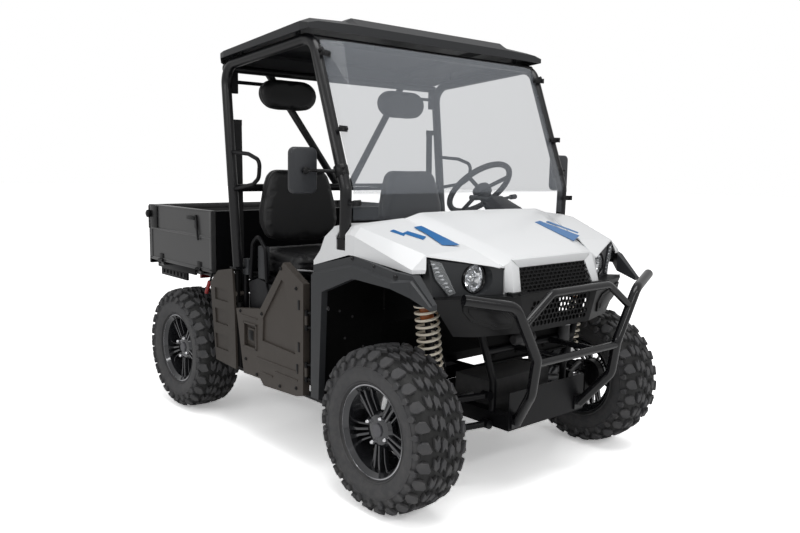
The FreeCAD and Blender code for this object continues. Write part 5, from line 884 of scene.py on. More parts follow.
class UTV_OT_rims(bpy.types.Operator):
    """Build the four rims with split spokes, lug nuts and a cap"""

    bl_idname = "utv.rims"
    bl_label = "Rims"

    # Radius and depth, as shares of the rim's outer radius and of its half width
    barrel_shares = ((0.90, 1.0), (0.93, 0.99), (0.935, 0.93), (0.885, 0.90), (0.86, 0.80),
                     (0.845, 0.40), (0.80, 0.15), (0.78, -0.60), (0.86, -0.85),
                     (0.93, -0.93), (0.93, -1.0), (0.90, -1.0), (0.83, -0.88),
                     (0.75, -0.62), (0.77, 0.13), (0.81, 0.42), (0.825, 0.82), (0.90, 1.0))
    lip_shares = ((0.905, 0.985), (0.915, 1.0), (0.935, 0.995), (0.94, 0.975), (0.93, 0.96),
                  (0.905, 0.985))
    # Radius as a share of the outer one, and depth as a share of the spokes' face
    hub_shares = ((0.0, 1.05), (0.20, 1.05), (0.30, 0.98), (0.36, 0.80), (0.37, 0.45),
                  (0.30, 0.2), (0.0, 0.2))
    face_share, cap_share = 0.62, 0.145
    # Each bar of a spoke: its inner end, its spread, its thickness and its drop
    bars = ((0.30, 0.012, 0.020, 0.0), (0.34, 0.034, 0.016, 0.012))
    # Along a bar: shares of the outer radius, or none for its inner end, of the spread and
    # of the thickness
    stations = ((None, 0.75, 0.5), (0.62, 1.0, 0.55), (0.865, 1.55, 0.8))
    bar_depth, bar_sink, bar_bevel, dish, dish_from = 0.020, 0.016, 0.0022, 0.010, 0.35
    # Radius as a share of the nut's or the cap's, and height in metres
    nut_shape = ((1.0, 0.0), (1.0, 0.010), (0.8, 0.016), (0.5, 0.019), (0.0, 0.0195))
    cap_shape = ((1.05, 1.02, 0.0), (1.0, 1.08, 0.004), (0.93, 1.08, 0.006),
                 (0.0, 1.08, 0.007))
    nuts, first_nut = 4, math.radians(-24)

    def execute(self, context):
        sizes = context.scene.utv_rims
        for place in WHEELS:
            self.build(sizes, place)
        return {"FINISHED"}

    def build(self, sizes, place):
        """One rim on its wheel's axis, its face looking outwards."""
        low, high, centre = span(f"rim_{place}")
        outer, half = (high.z - low.z) / 2, (high.x - low.x) / 2
        out = side_sign(place)
        face = out * half * self.face_share
        bm = bmesh.new()
        barrel = [(share * outer, out * depth * half) for share, depth in self.barrel_shares]
        turned(bm, barrel, centre, AXLE, 72)
        hub = [(share * outer, depth * face) for share, depth in self.hub_shares]
        turned(bm, hub, centre, AXLE, 48)
        for index in range(sizes.spokes):
            angle = math.pi + math.tau * index / sizes.spokes
            self.add_spoke(bm, centre, outer, face, out, angle)
        made = piece(bm, f"spoked_rim_{place}", wheel_body(place),
                     "Rim paint", 28.0)
        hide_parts(f"rim_{place}")
        lip = bmesh.new()
        ring = [(share * outer, out * depth * half) for share, depth in self.lip_shares]
        turned(lip, ring, centre, AXLE, 96)
        piece(lip, f"rim_lip_{place}", wheel_body(place), "Rim lip")
        self.add_nuts(sizes, place, centre, face, out)
        self.add_cap(place, centre, outer * self.cap_share, face, out)

    def add_spoke(self, bm, centre, outer, face, out, angle):
        """A spoke split in two bars on each side that spread towards the barrel."""
        turn = Matrix.Translation(centre) @ Matrix.Rotation(angle, 4, "X")
        for sign in BOTH:
            for inner, spread, thick, drop in self.bars:
                before = set(bm.verts)
                stations = [(share or inner, spread * off, thick * wide)
                            for share, off, wide in self.stations]
                loop = ([(sign * (off - wide / 2), share * outer)
                         for share, off, wide in stations]
                        + [(sign * (off + wide / 2), share * outer)
                           for share, off, wide in reversed(stations)])
                slab(bm, [(0.0, across, radius) for across, radius in loop],
                     (out * self.bar_depth, 0, 0))
                tops = {vert for vert in set(bm.verts) - before
                        if abs(vert.co.x) > self.bar_depth / 2}
                rounded_edges(bm, {edge for vert in tops for edge in vert.link_edges
                                   if set(edge.verts) <= tops}, self.bar_bevel)
                made = list(set(bm.verts) - before)
                for vert in made:
                    sink = self.dish * (vert.co.z / outer - self.dish_from)
                    vert.co.x += face - out * (self.bar_sink + drop) + out * sink
                bmesh.ops.transform(bm, matrix=turn, verts=made)

    def add_nuts(self, sizes, place, centre, face, out):
        """The lug nuts on their circle."""
        bm = bmesh.new()
        for index in range(self.nuts):
            angle = self.first_nut + index * math.tau / self.nuts
            seat = centre + Vector((face, math.sin(angle) * sizes.bolt_circle * -out,
                                    math.cos(angle) * sizes.bolt_circle))
            turned(bm, [(sizes.nut_radius * share, out * up) for share, up in self.nut_shape],
                   seat, AXLE, 12)
        piece(bm, f"lug_nuts_{place}", wheel_body(place), "Bright steel")

    def add_cap(self, place, centre, radius, face, out):
        """The eight-sided cap over the hub."""
        bm = bmesh.new()
        turned(bm, [(radius * share, face * depth + out * up)
                    for share, depth, up in self.cap_shape], centre, AXLE, 8)
        piece(bm, f"hub_cap_{place}", wheel_body(place), "Hub cap", 12.0)


# Seats


class SeatSizes(bpy.types.PropertyGroup):
    """The padding of the seats and headrests."""

    start: FloatProperty(name="Start size", description="Share of the room a pad starts from",
                         default=0.93, min=0.5, max=1.0)
    swell: FloatProperty(name="Swell", description="The furthest a cover may swell",
                         default=0.007, min=0.0, unit="LENGTH")
    pressure: FloatProperty(name="Pressure", description="Pressure inside the covers",
                            default=4.0, min=0.0)
    voxel: FloatProperty(name="Voxel", description="Mesh size of the covers",
                         default=0.006, min=0.003, unit="LENGTH")
    piping: FloatProperty(name="Piping", description="Radius of the sewn piping",
                          default=0.0045, min=0.001, unit="LENGTH")


class UTV_OT_seats(bpy.types.Operator):
    """Build the padded seats and headrests with cloth covers, seams and piping"""

    bl_idname = "utv.seats"
    bl_label = "Seats"

    # Outlines as shares of half the width and of the height from the foot
    back_shares = ((0.50, 0.03), (0.86, 0.10), (1.0, 0.28), (0.99, 0.48), (0.86, 0.78),
                   (0.76, 0.93), (0.62, 1.0), (0.0, 1.0))
    rest_shares = ((0.40, 0.0), (0.72, 0.08), (0.93, 0.28), (1.0, 0.52), (0.93, 0.76),
                   (0.70, 0.94), (0.40, 1.0), (0.0, 1.0))
    # Across as a share of the piping's reach, and back and up in metres
    piping_line = ((-1.0, 0.030, 0.012), (-0.86, 0.0, 0.010), (-0.5, -0.004, -0.004),
                   (0.0, -0.005, -0.008), (0.5, -0.004, -0.004), (0.86, 0.0, 0.010),
                   (1.0, 0.030, 0.012))
    # How far back from its room's front the backrest starts, its depth and its lean
    back_from, back_depth, back_lean = 0.018, 0.070, 0.030
    # Depth and fall of the cushion's rounded front edge
    nose, nose_fall = 0.09, 0.022
    # The cushion's seams: from its sides, from its front and below its top
    side_seam, front_seam, top_seam = 0.075, 0.085, 0.050
    # The backrest's seam: from its room's front at the foot, and back per metre up
    back_seam, back_seam_lean = 0.052, 0.060
    # What the headrest leaves free before and behind it
    rest_before, rest_behind = 0.012, 0.010
    # Roundings of the cushion, the backrest and the headrest
    cushion_round, back_round, rest_round = 0.026, 0.024, 0.020
    seam_width, seam_depth, slack = 0.007, 0.0035, 0.004
    frames, stiffness, bending = 20, 18.0, 1.5

    def execute(self, context):
        sizes = context.scene.utv_seats
        pads = []
        for side in SIDES:
            pads.append(self.shape_cushion(sizes, side))
            pads.append(self.shape_back(sizes, side))
            pads.append(self.shape_rest(sizes, side))
        self.swell(context, sizes, [pad for pad, _, _ in pads])
        for pad, node, detail in pads:
            self.finish_pad(pad, node, detail)
        for side in SIDES:
            self.add_piping(sizes, side)
        return {"FINISHED"}

    def pad_object(self, bm, name, voxel):
        """An unfinished pad with an even mesh over its rounded form."""
        bmesh.ops.recalc_face_normals(bm, faces=bm.faces)
        mesh = bpy.data.meshes.new(name)
        bm.to_mesh(mesh)
        bm.free()
        pad = bpy.data.objects.new(name, mesh)
        bpy.context.scene.collection.objects.link(pad)
        remesh = pad.modifiers.new("Even mesh", "REMESH")
        remesh.mode = "VOXEL"
        remesh.voxel_size = voxel
        self.apply(pad)
        return pad

    def apply(self, pad):
        """Bakes the modifiers of a pad into its mesh."""
        seen = pad.evaluated_get(bpy.context.evaluated_depsgraph_get())
        baked = bpy.data.meshes.new_from_object(seen)
        pad.modifiers.clear()
        worn, pad.data = pad.data, baked
        bpy.data.meshes.remove(worn)

    def extruded(self, node, start, shares, foot, tall, near, far, round_by):
        """A rounded pad: both halves of its outline in the x-z plane, extruded along y."""
        low, high, centre = span(node)
        half, room = (high.x - low.x) / 2 * start, high.z - low.z
        right = [(out * half, low.z + room * (foot + up * tall)) for out, up in shares]
        outline = ([(centre.x + x, z) for x, z in right]
                   + [(centre.x - x, z) for x, z in reversed(right[:-1])])
        bm = bmesh.new()
        face = bm.faces.new([bm.verts.new((x, near, z)) for x, z in outline])
        made = bmesh.ops.extrude_face_region(bm, geom=[face])["geom"]
        bmesh.ops.translate(bm, vec=(0, far - near, 0), verts=verts_in(made))
        bmesh.ops.recalc_face_normals(bm, faces=bm.faces)
        rounded_edges(bm, bm.edges[:], round_by, 4)
        return bm

    def shape_cushion(self, sizes, side):
        """The cushion: a block with a rounded front, a little lower at the front edge."""
        low, high, centre = span(f"seat_cushion_{side}")
        size = (high - low) * sizes.start
        bm = bmesh.new()
        block(bm, centre - size / 2, centre + size / 2, self.cushion_round, 4)
        for vert in bm.verts:
            if vert.co.z > centre.z:
                ahead = max(0.0, (low.y + self.nose - vert.co.y) / self.nose)
                vert.co.z -= self.nose_fall * ahead * ahead
        pad = self.pad_object(bm, f"cushion_{side}", sizes.voxel)
        return pad, f"seat_cushion_{side}", "cushion"

    def shape_back(self, sizes, side):
        """The backrest: full at the hips, narrow at the shoulders, and leaning back."""
        node = f"seat_back_{side}"
        low, high, _ = span(node)
        near = low.y + self.back_from
        bm = self.extruded(node, sizes.start, self.back_shares, 0.03, 0.94, near,
                           near + self.back_depth, self.back_round)
        for vert in bm.verts:
            vert.co.y += (vert.co.z - low.z) / (high.z - low.z) * self.back_lean
        return self.pad_object(bm, f"backrest_{side}", sizes.voxel), node, "back"

    def shape_rest(self, sizes, side):
        """The headrest: a wide oval pad."""
        node = f"headrest_{side}"
        low, high, _ = span(node)
        bm = self.extruded(node, sizes.start, self.rest_shares, 0.05, 0.90,
                           low.y + self.rest_before, high.y - self.rest_behind,
                           self.rest_round)
        return self.pad_object(bm, f"rest_{side}", sizes.voxel), node, "rest"

    def swell(self, context, sizes, pads):
        """Blows the covers up as cloth, together, and caps how far they may move."""
        starts = [[vert.co.copy() for vert in pad.data.vertices] for pad in pads]
        for pad in pads:
            cloth = pad.modifiers.new("Cover", "CLOTH")
            cloth.settings.use_pressure = True
            cloth.settings.uniform_pressure_force = sizes.pressure
            cloth.settings.effector_weights.gravity = 0.0
            cloth.settings.tension_stiffness = self.stiffness
            cloth.settings.compression_stiffness = self.stiffness
            cloth.settings.bending_stiffness = self.bending
        for number in range(1, self.frames + 1):
            context.scene.frame_set(number)
        for pad, start in zip(pads, starts):
            self.apply(pad)
            for vert, was in zip(pad.data.vertices, start):
                move = vert.co - was
                if move.length > sizes.swell:
                    vert.co = was + move.normalized() * sizes.swell
        context.scene.frame_set(1)

    def sew(self, pad, seams):
        """Draws the cover in along its seams; a seam gives each point's distance from it."""
        normals = [vert.normal.copy() for vert in pad.data.vertices]
        for vert, normal in zip(pad.data.vertices, normals):
            near = min(seam(vert.co) for seam in seams)
            if near < self.seam_width:
                vert.co -= normal * self.seam_depth * (1 - (near / self.seam_width) ** 2)

    def seams_of(self, node, detail):
        """The seams of one pad, as distances."""
        low, high, centre = span(node)
        if detail == "cushion":
            reach = high.x - centre.x - self.side_seam
            return [lambda co: abs(abs(co.x - centre.x) - reach),
                    lambda co: abs(co.y - (low.y + self.front_seam)),
                    lambda co: abs(co.z - (high.z - self.top_seam))]
        if detail == "back":
            return [lambda co: abs(co.y - (low.y + self.back_seam
                                           + (co.z - low.z) * self.back_seam_lean))]
        return [lambda co: abs(co.y - centre.y)]

    def finish_pad(self, pad, node, detail):
        """Sews a pad, keeps it in its room, and gives it its cover."""
        low, high, _ = span(node)
        self.sew(pad, self.seams_of(node, detail))
        for vert in pad.data.vertices:
            vert.co = Vector(min(max(at, least - self.slack), most + self.slack)
                             for at, least, most in zip(vert.co, low, high))
        pad.data.shade_smooth()
        pad.data.materials.append(bpy.data.materials["Seat cover"])
        if detail != "cushion":
            finer = pad.modifiers.new("Finer cover", "SUBSURF")
            finer.levels = finer.render_levels = 1
        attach(pad, "chassis")
        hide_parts(node)

    def add_piping(self, sizes, side):
        """A pale band along the lower front of the cushion."""
        low, high, centre = span(f"seat_cushion_{side}")
        reach = (high.x - low.x) / 2 - 0.02
        front, level = low.y + 0.008, low.z + 0.040
        bm = bmesh.new()
        tube_along(bm, [(centre.x + share * reach, front + back, level + up)
                        for share, back, up in self.piping_line], sizes.piping, 10)
        piece(bm, f"cushion_piping_{side}", "chassis", "Seat piping")


# The front


class FrontSizes(bpy.types.PropertyGroup):
    """The nose, its grille and the headlamps."""

    cell: FloatProperty(name="Grille cell", description="Pitch of the grille's cells",
                        default=0.027, min=0.005, unit="LENGTH")
    web: FloatProperty(name="Grille web", description="Width of the web between cells",
                       default=0.006, min=0.001, unit="LENGTH")
    lamp: FloatProperty(name="Lamp radius", description="Outer radius of a headlamp",
                        default=0.063, min=0.02, unit="LENGTH")


class UTV_OT_nose(bpy.types.Operator):
    """Build the hood's raised skin and nose frame, the upper grille and its sill"""

    bl_idname = "utv.nose"
    bl_label = "Nose and grille"

    # The hood's slope, and its edge and crease lines at the nose and per millimetre back
    slope, edge_line, crease_line = 0.4098, (305, 0.390), (217, 0.405)
    # Heights at the nose: the skin's foot and the hood, then the rise of crease and middle
    skin_foot, hood_top, crease_rise, middle_rise = 969.5, 978, 13, 16
    stations = (-246, -150, -40, 70, 160)
    skin_depth, crease_bevel, rim_bevel, film = 0.009, 0.012, 0.003, (0, 0, 0.0012)
    # A crease runs at least this far along the hood, and this far from its middle
    crease_run, crease_side = 0.03, 0.17
    # The frame's top bar and one leg: front and back outlines
    bar = (((-262, -252, 992), (262, -252, 992), (218, -254, 958), (-218, -254, 958)),
           ((-262, -240, 996), (262, -240, 996), (218, -246, 957), (-218, -246, 957)), 0.003)
    leg = (((263, -252, 991), (217, -253, 959), (238, -286, 863), (284, -286, 863)),
           ((301, -247, 972), (217, -246, 958), (238, -246, 863), (294, -246, 863)), 0.003)
    grille_top, grille_foot, grille_half = (0, -250, 960), (0, -283, 864), 0.248
    squash, grille_depth = 0.64, 0.005
    # A point of the grille's slanting side, and the side's outward direction
    grille_side, grille_out = (218, -250, 958), (1, 0.0, 0.25)
    # A near-black plate behind the upper grille: painted shade inside the nose
    screen = (((-222, -244, 957), (222, -244, 957), (246, -249, 862), (-246, -249, 862)),
              (0, 0.0015, 0))
    sill = (((-262, -306, 857), (262, -250, 863), 0.0022),
            ((-300, -296, 850), (-212, -262, 868), 0.003),
            ((212, -296, 850), (300, -262, 868), 0.003))
    # Outlines of the fascia's oblong mouldings, across from the middle and up
    wing = ((512, 838), (327, 806), (280, 766), (284, 728), (358, 726), (470, 770),
            (508, 808))
    wing_inset = ((490, 825), (335, 797), (300, 764), (302, 742), (352, 740), (458, 780),
                  (488, 806))
    wing_rise, inset_rise = 0.009, 0.013
    # Outward direction of the fascia's face, and a point of it
    fascia_out, fascia_point = (0.26, -0.95, -0.16), (427, -244, 778)
    # Outlines of the stripes, across and back
    side_stripes = (((-480, 82), (-443, 79), (-401, -99), (-470, -74), (-470, 20)),
                    ((-560, 60), (-530, 66), (-488, 2), (-516, -12)),
                    ((-600, 92), (-578, 96), (-556, 50), (-572, 40)))
    hood_stripes = (((214, 24), (258, 33), (362, -116), (266, -155)),
                    ((290, 22), (312, 28), (392, -88), (374, -97)))
    # A point of the near side panel's top, and the top's slopes across and back
    panel_point, panel_slopes = (-497, -59, 1046), (0.13, 0.392)
    # How far the films lie above the panel and above the hood
    panel_film, hood_film = 1.5, 15.5

    def execute(self, context):
        self.add_skin()
        self.add_frame()
        self.add_grille(context.scene.utv_front)
        make("grille_shade_backing", "chassis", "black_plastic", "Painted shade black", plates=[self.screen])
        make("grille_sill", "chassis", "black_plastic", "Black moulding", blocks=self.sill)
        self.add_wings()
        self.add_stripes()
        return {"FINISHED"}

    def skin_at(self, back, column):
        """A point of the skin: column 0 and 5 are the edges, 1 and 4 the creases."""
        along = back - self.stations[0]
        edge = self.edge_line[0] + self.edge_line[1] * along
        crease = self.crease_line[0] + self.crease_line[1] * along
        low, high = self.skin_foot + self.slope * along, self.hood_top + self.slope * along
        side, middle = high + self.crease_rise, high + self.middle_rise
        across = (-edge, -crease, -crease / 3, crease / 3, crease, edge)[column]
        return spot(across, back, (low, side, middle, middle, side, low)[column])

    def add_skin(self):
        """The raised middle of the hood, with a crease down each side."""
        bm = bmesh.new()
        grid = bmesh.ops.create_grid(bm, x_segments=5, y_segments=len(self.stations) - 1,
                                     size=1.0)["verts"]
        rows = sorted({round(vert.co.y, 4) for vert in grid})
        columns = sorted({round(vert.co.x, 4) for vert in grid})
        for vert in grid:
            row, column = rows.index(round(vert.co.y, 4)), columns.index(round(vert.co.x, 4))
            vert.co = self.skin_at(self.stations[row], column)
        rim = [edge for edge in bm.edges if edge.is_boundary]
        creases = [edge for edge in bm.edges if edge not in rim
                   and abs(edge.verts[0].co.y - edge.verts[1].co.y) > self.crease_run
                   and min(abs(vert.co.x) for vert in edge.verts) > self.crease_side]
        made = bmesh.ops.extrude_edge_only(bm, edges=rim)["geom"]
        bmesh.ops.translate(bm, vec=(0, 0, -self.skin_depth), verts=verts_in(made))
        bmesh.ops.recalc_face_normals(bm, faces=bm.faces)
        rounded_edges(bm, creases, self.crease_bevel, 4)
        rounded_edges(bm, folded(bm.edges), self.rim_bevel, 3)
        piece(bm, "hood_skin", "hood", "Body panel")

    def add_frame(self):
        """The white frame round the grille, in one with the hood."""
        bm = bmesh.new()
        FORMS["lofts"](bm, 1, *self.bar)
        for sign in BOTH:
            FORMS["lofts"](bm, sign, *self.leg)
        piece(bm, "nose_frame", "hood", "Body panel")

    def add_grille(self, sizes):
        """The honeycomb between the legs, leaning out over its sill."""
        bm = bmesh.new()
        top, foot = spots((self.grille_top, self.grille_foot))
        across, rise = Vector(AXLE), (top - foot).normalized()
        lean = Matrix((across, rise, across.cross(rise))).transposed().to_4x4()
        cells(bm, self.grille_half, (top - foot).length, sizes.cell, sizes.web, self.squash)
        bmesh.ops.transform(bm, matrix=Matrix.Translation(foot) @ lean, verts=bm.verts)
        for sign in BOTH:
            bmesh.ops.bisect_plane(bm, geom=everything(bm), clear_outer=True,
                                   plane_co=spots([self.grille_side], sign)[0],
                                   plane_no=facing(self.grille_out, sign))
        bmesh.ops.solidify(bm, geom=bm.faces[:], thickness=self.grille_depth)
        piece(bm, "nose_grille", "chassis", "Black moulding")

    def add_wings(self):
        """The raised oblong mouldings on the fascia, beside the lower grille."""
        bm = bmesh.new()
        for sign in BOTH:
            out = Vector(facing(self.fascia_out, sign))
            for outline, rise in ((self.wing, self.wing_rise),
                                  (self.wing_inset, self.inset_rise)):
                slab(bm, [self.on_fascia(sign, *corner) for corner in outline], out * rise,
                     self.rim_bevel)
        piece(bm, "fascia_wings", "chassis", "Black moulding")

    def on_fascia(self, sign, across, up):
        """A point on the fascia's slanting face, from the middle outwards."""
        out_x, out_y, out_z = self.fascia_out
        at_across, at_back, at_up = self.fascia_point
        fall = (out_x * (at_across - across) - out_z * (up - at_up)) / -out_y
        return spot(sign * across, at_back - fall, up)

    def add_stripes(self):
        """Plain slanted film stripes on the hood and the near side panel."""
        near = [[self.on_panel(*corner) for corner in outline]
                for outline in self.side_stripes]
        far = [[self.on_hood(*corner) for corner in outline] for outline in self.hood_stripes]
        make("side_stripes", "chassis", "white_plastic", "Stripe film",
             plates=[(outline, self.film) for outline in near])
        make("hood_stripes", "hood", "white_plastic", "Stripe film",
             plates=[(outline, self.film) for outline in far])

    def on_panel(self, across, back):
        """A place just above the near side panel's sloping top."""
        at_across, at_back, level = self.panel_point
        tilt, lean = self.panel_slopes
        rise = (back - at_back) * lean + (across - at_across) * tilt
        return across, back, level + rise + self.panel_film

    def on_hood(self, across, back):
        """A place just above the hood's raised skin."""
        along = back - self.stations[0]
        return across, back, self.hood_top + self.slope * along + self.hood_film


class UTV_OT_lamps(bpy.types.Operator):
    """Build the round headlamps and the lamp strips beside them"""

    bl_idname = "utv.lamps"
    bl_label = "Lamps"

    centre = (401, -178, 922)
    # Radius as a share of the lamp's, and metres ahead of its face
    ring_shares = ((1.0, -0.060), (1.0, 0.004), (0.97, 0.010), (0.91, 0.011), (0.86, 0.006),
                   (0.86, -0.060))
    bowl_shares = ((0.86, -0.002), (0.80, -0.012), (0.62, -0.028), (0.55, -0.029),
                   (0.34, -0.042), (0.20, -0.046), (0.0, -0.046))
    shield_shares = ((0.19, -0.046), (0.21, -0.022), (0.17, -0.012), (0.08, -0.008),
                     (0.0, -0.007))
    glass_shares = ((0.87, 0.002), (0.70, 0.009), (0.40, 0.014), (0.0, 0.016))
    # Half the length and width of the bars across a bowl, as shares of the lamp's radius
    cross_reach, cross_half = 0.84, 0.03
    # The strip's outline, across and up; its lamps run from the first place to the last
    strip = ((-594, 1000), (-552, 990), (-494, 872), (-520, 862), (-574, 930))
    strip_lamps, strip_from, strip_run = 8, (-578, 984), (66, -104)
    # A small lamp's corners, as shares of its half width and of its height; its half width
    # at both ends of the strip, its height, the lean of every other lamp and of the rest
    lamp_corners = ((-1.0, -0.5), (1.0, -0.5), (0.7, 0.5), (-0.7, 0.5))
    lamp_widths, lamp_height, lamp_leans = (11, 8.5), 8, (-3, 5)
    # A lamp narrows by this share towards its front, which lies this far ahead
    lamp_facet, lamp_rise = 0.45, 0.008
    # A point of the housing's face, across and back, and how fast the face falls back
    face_point, face_fall = (-598, -125), 0.383

    def execute(self, context):
        outer = context.scene.utv_front.lamp
        self.add_round("headlamp_rings", "black_plastic", "Gloss bar", outer,
                       self.ring_shares, 48)
        self.add_round("headlamp_bowls", "lamp_clear", "Lamp chrome", outer,
                       self.bowl_shares, 14, self.add_cross, 12.0)
        self.add_round("headlamp_shields", "lamp_clear", "Lamp chrome", outer,
                       self.shield_shares, 24)
        lens = self.add_round("headlamp_glass", "lamp_clear", "Lamp glass", outer,
                              self.glass_shares, 40)
        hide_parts("headlamps")
        self.add_strips()
        return {"FINISHED"}

    def add_round(self, name, slot, finish, outer, shares, steps, extra=None, smooth_to=35.0):
        """One turned part of both headlamps."""
        bm = bmesh.new()
        for sign in BOTH:
            centre = spots([self.centre], sign)[0]
            turned(bm, [(outer * share, ahead) for share, ahead in shares], centre, AHEAD,
                   steps)
            if extra:
                extra(bm, centre, outer)
        return piece(bm, name, "chassis", finish, smooth_to)

    def add_cross(self, bm, centre, outer):
        """Two thin bars that cross in a bowl."""
        reach, thin = outer * self.cross_reach, outer * self.cross_half
        for turn in (0.0, math.pi / 2):
            swing = Matrix.Rotation(turn, 3, "Y")
            corners = [centre + swing @ Vector((x, 0.012, z)) for x, z in
                       ((-reach, -thin), (reach, -thin), (reach, thin), (-reach, thin))]
            slab(bm, corners, (0, 0.006, 0))

    def add_strips(self):
        """A slanting row of small lamps in a framed pocket outside each headlamp."""
        trays, lights, covers = bmesh.new(), bmesh.new(), bmesh.new()
        for sign in BOTH:
            outline = [self.on_face(sign, across, up) for across, up in self.strip]
            slab(trays, outline, (0, -0.003, 0), 0.0008)
            tube_along(trays, [point + Vector((0, -0.005, 0)) for point in outline],
                       0.0022, 8, closed=True)
            slab(covers, [point + Vector((0, -0.010, 0)) for point in outline],
                 (0, -0.002, 0))
            for step in range(self.strip_lamps):
                self.add_small_lamp(lights, sign, step)
        piece(trays, "strip_trays", "chassis", "Flare plastic")
        piece(lights, "strip_lamps", "chassis", "Lamp pearl", 12.0)
        piece(covers, "strip_covers", "chassis", "Lamp glass")

    def add_small_lamp(self, bm, sign, step):
        """One faceted lamp of a strip, leaning one way or the other."""
        share = step / (self.strip_lamps - 1)
        across = self.strip_from[0] + self.strip_run[0] * share
        up = self.strip_from[1] + self.strip_run[1] * share
        first, last = self.lamp_widths
        wide = first + (last - first) * share
        lean = self.lamp_leans[step % 2]
        corners = [self.on_face(sign, across + wide * x + (lean if z > 0 else 0),
                                up + self.lamp_height * z) for x, z in self.lamp_corners]
        middle = sum(corners, Vector()) / len(corners)
        ahead = Vector((0, -self.lamp_rise, 0))
        loft(bm, corners, [corner.lerp(middle, self.lamp_facet) + ahead
                           for corner in corners])

    def on_face(self, sign, across, up):
        """A point on the lamp housing's slanting face, mirrored for the left."""
        at_across, at_back = self.face_point
        return spot(-sign * across, at_back - (across - at_across) * self.face_fall, up)


class UTV_OT_bay(bpy.types.Operator):
    """Fit the near-black radiator that stands for the shade behind the lower grille, the bulkhead
    and the small units behind the bumper
    """

    bl_idname = "utv.bay"
    bl_label = "Front bay"

    core = [((-214, -250, 706), (60, -222, 838), 0.004),
            ((-182, -226, 690), (-158, -138, 710), 0.003),
            ((8, -226, 690), (32, -138, 710), 0.003)]
    fins, first_fin, fin_pitch, fin_height = 9, 716, 13, 4
    sheet = (((-262, -146, 548), (262, -146, 548), (314, -146, 712), (-314, -146, 712)),
             (0, 0.006, 0), 0.002)
    bulkhead_bolts = ((90, 580), (230, 580), (90, 680), (250, 680))
    motor = ((0.0, -0.062), (0.018, -0.062), (0.024, -0.054), (0.026, -0.030),
             (0.022, -0.026), (0.022, 0.040), (0.027, 0.044), (0.027, 0.058),
             (0.010, 0.064), (0.0, 0.064))
    motor_seat = ((-98, -172, 604), (-62, -144, 676), 0.004)
    reservoir = ((0.0, -0.040), (0.022, -0.040), (0.026, -0.034), (0.026, 0.036),
                 (0.0, 0.036))
    cap = ((0.0, 0.036), (0.029, 0.036), (0.030, 0.040), (0.030, 0.050), (0.026, 0.054),
           (0.0, 0.055))
    reservoir_centre = (202, -171, 629)

    def execute(self, context):
        levels = [self.first_fin + step * self.fin_pitch for step in range(self.fins)]
        fins = [((-204, -254, up), (50, -249, up + self.fin_height)) for up in levels]
        # The radiator's core and fins cover the near half of the lower grille in near-black:
        # painted shade
        make("radiator_shade_backing", "chassis", "black_plastic", "Painted shade black",
             blocks=self.core + fins)
        self.add_bulkhead()
        make("bay_units", "chassis", "black_plastic", "Cast casing", blocks=[self.motor_seat],
             turnings=[(self.motor, (-80, -170, 640), AXLE, 28),
                       (self.reservoir, self.reservoir_centre, (0, 0, 1), 28)])
        make("reservoir_cap", "chassis", "frame_black", "Machined steel",
             turnings=[(self.cap, self.reservoir_centre, (0, 0, 1), 28)])
        return {"FINISHED"}

    def add_bulkhead(self):
        """A folded plate between the subframe's uprights, with a pressed border."""
        blocks = []
        for low, high in ((548, 556), (704, 712)):
            wide = 262 + (low - 548) * 0.317
            blocks.append(((-wide, -156, low), (wide, -142, high), 0.003))
        bolts = [((sign * across, -146, up), AHEAD, 0.008, 0.006)
                 for sign in BOTH for across, up in self.bulkhead_bolts]
        make("front_bulkhead", "chassis", "frame_black", "Well liner", plates=[self.sheet],
             blocks=blocks, bolts=bolts)


# The cab


class UTV_OT_pane(bpy.types.Operator):
    """Build the folded clear windshield between the pillars, with its fixings"""

    bl_idname = "utv.pane"
    bl_label = "Windshield"

    thickness = 4
    # Across from the middle, and how far the pane's sides bend back there
    bends = ((-678, 36), (-650, 24), (-600, 9), (-540, 0), (540, 0), (600, 9), (650, 24),
             (678, 36))
    # How far back and how high, from the foot to the top
    folds = ((193, 1130), (193, 1246), (195, 1262), (200, 1277), (430, 1860))
    # How far back and how high each clamp plate is, and half a plate's height
    clamps = ((190, 1200), (283, 1494), (403, 1800))
    clamp_half = 12
    # Across and back from the clamp's place: the plate's ends and its bolts
    clamp_ends, clamp_bolts = ((652, 21), (710, -1)), ((662, 17), (700, 2))
    bolt_shape = ((0.008, -0.006), (0.008, 0.003), (0.005, 0.005), (0.0, 0.006))

    def execute(self, context):
        bm = bmesh.new()
        across, bend = self.bends[0]
        row = [bm.verts.new(spot(across, back + bend, up)) for back, up in self.folds]
        edges = [bm.edges.new(pair) for pair in zip(row, row[1:])]
        for (last, was), (across, bend) in zip(self.bends, self.bends[1:]):
            made = bmesh.ops.extrude_edge_only(bm, edges=edges)["geom"]
            new = set(verts_in(made))
            bmesh.ops.translate(bm, vec=Vector((across - last, bend - was, 0)) / 1000,
                                verts=list(new))
            edges = [edge for edge in edges_in(made) if set(edge.verts) <= new]
        bmesh.ops.recalc_face_normals(bm, faces=bm.faces)
        bmesh.ops.solidify(bm, geom=bm.faces[:], thickness=self.thickness / 1000)
        pane = piece(bm, "windshield_pane", "chassis", "Tinted pane", 25.0)
        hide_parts("windshield")
        self.add_fixings()
        return {"FINISHED"}

    def add_fixings(self):
        """Bolted clamp plates from the pillars' lugs to the pane's sides."""
        plates, bolts = [], []
        (near, near_by), (far, far_by) = self.clamp_ends
        for back, up in self.clamps:
            low, high = up - self.clamp_half, up + self.clamp_half
            plates.append((((near, back + near_by, low), (far, back + far_by, low),
                            (far, back + far_by, high), (near, back + near_by, high)),
                           (0, 0.004, 0), 0.0008))
            bolts += [(self.bolt_shape, (across, back + behind, up), AHEAD, 18)
                      for across, behind in self.clamp_bolts]
        make("pane_fixings", "chassis", "black_plastic", "Black moulding", BOTH,
             plates=plates, turnings=bolts)


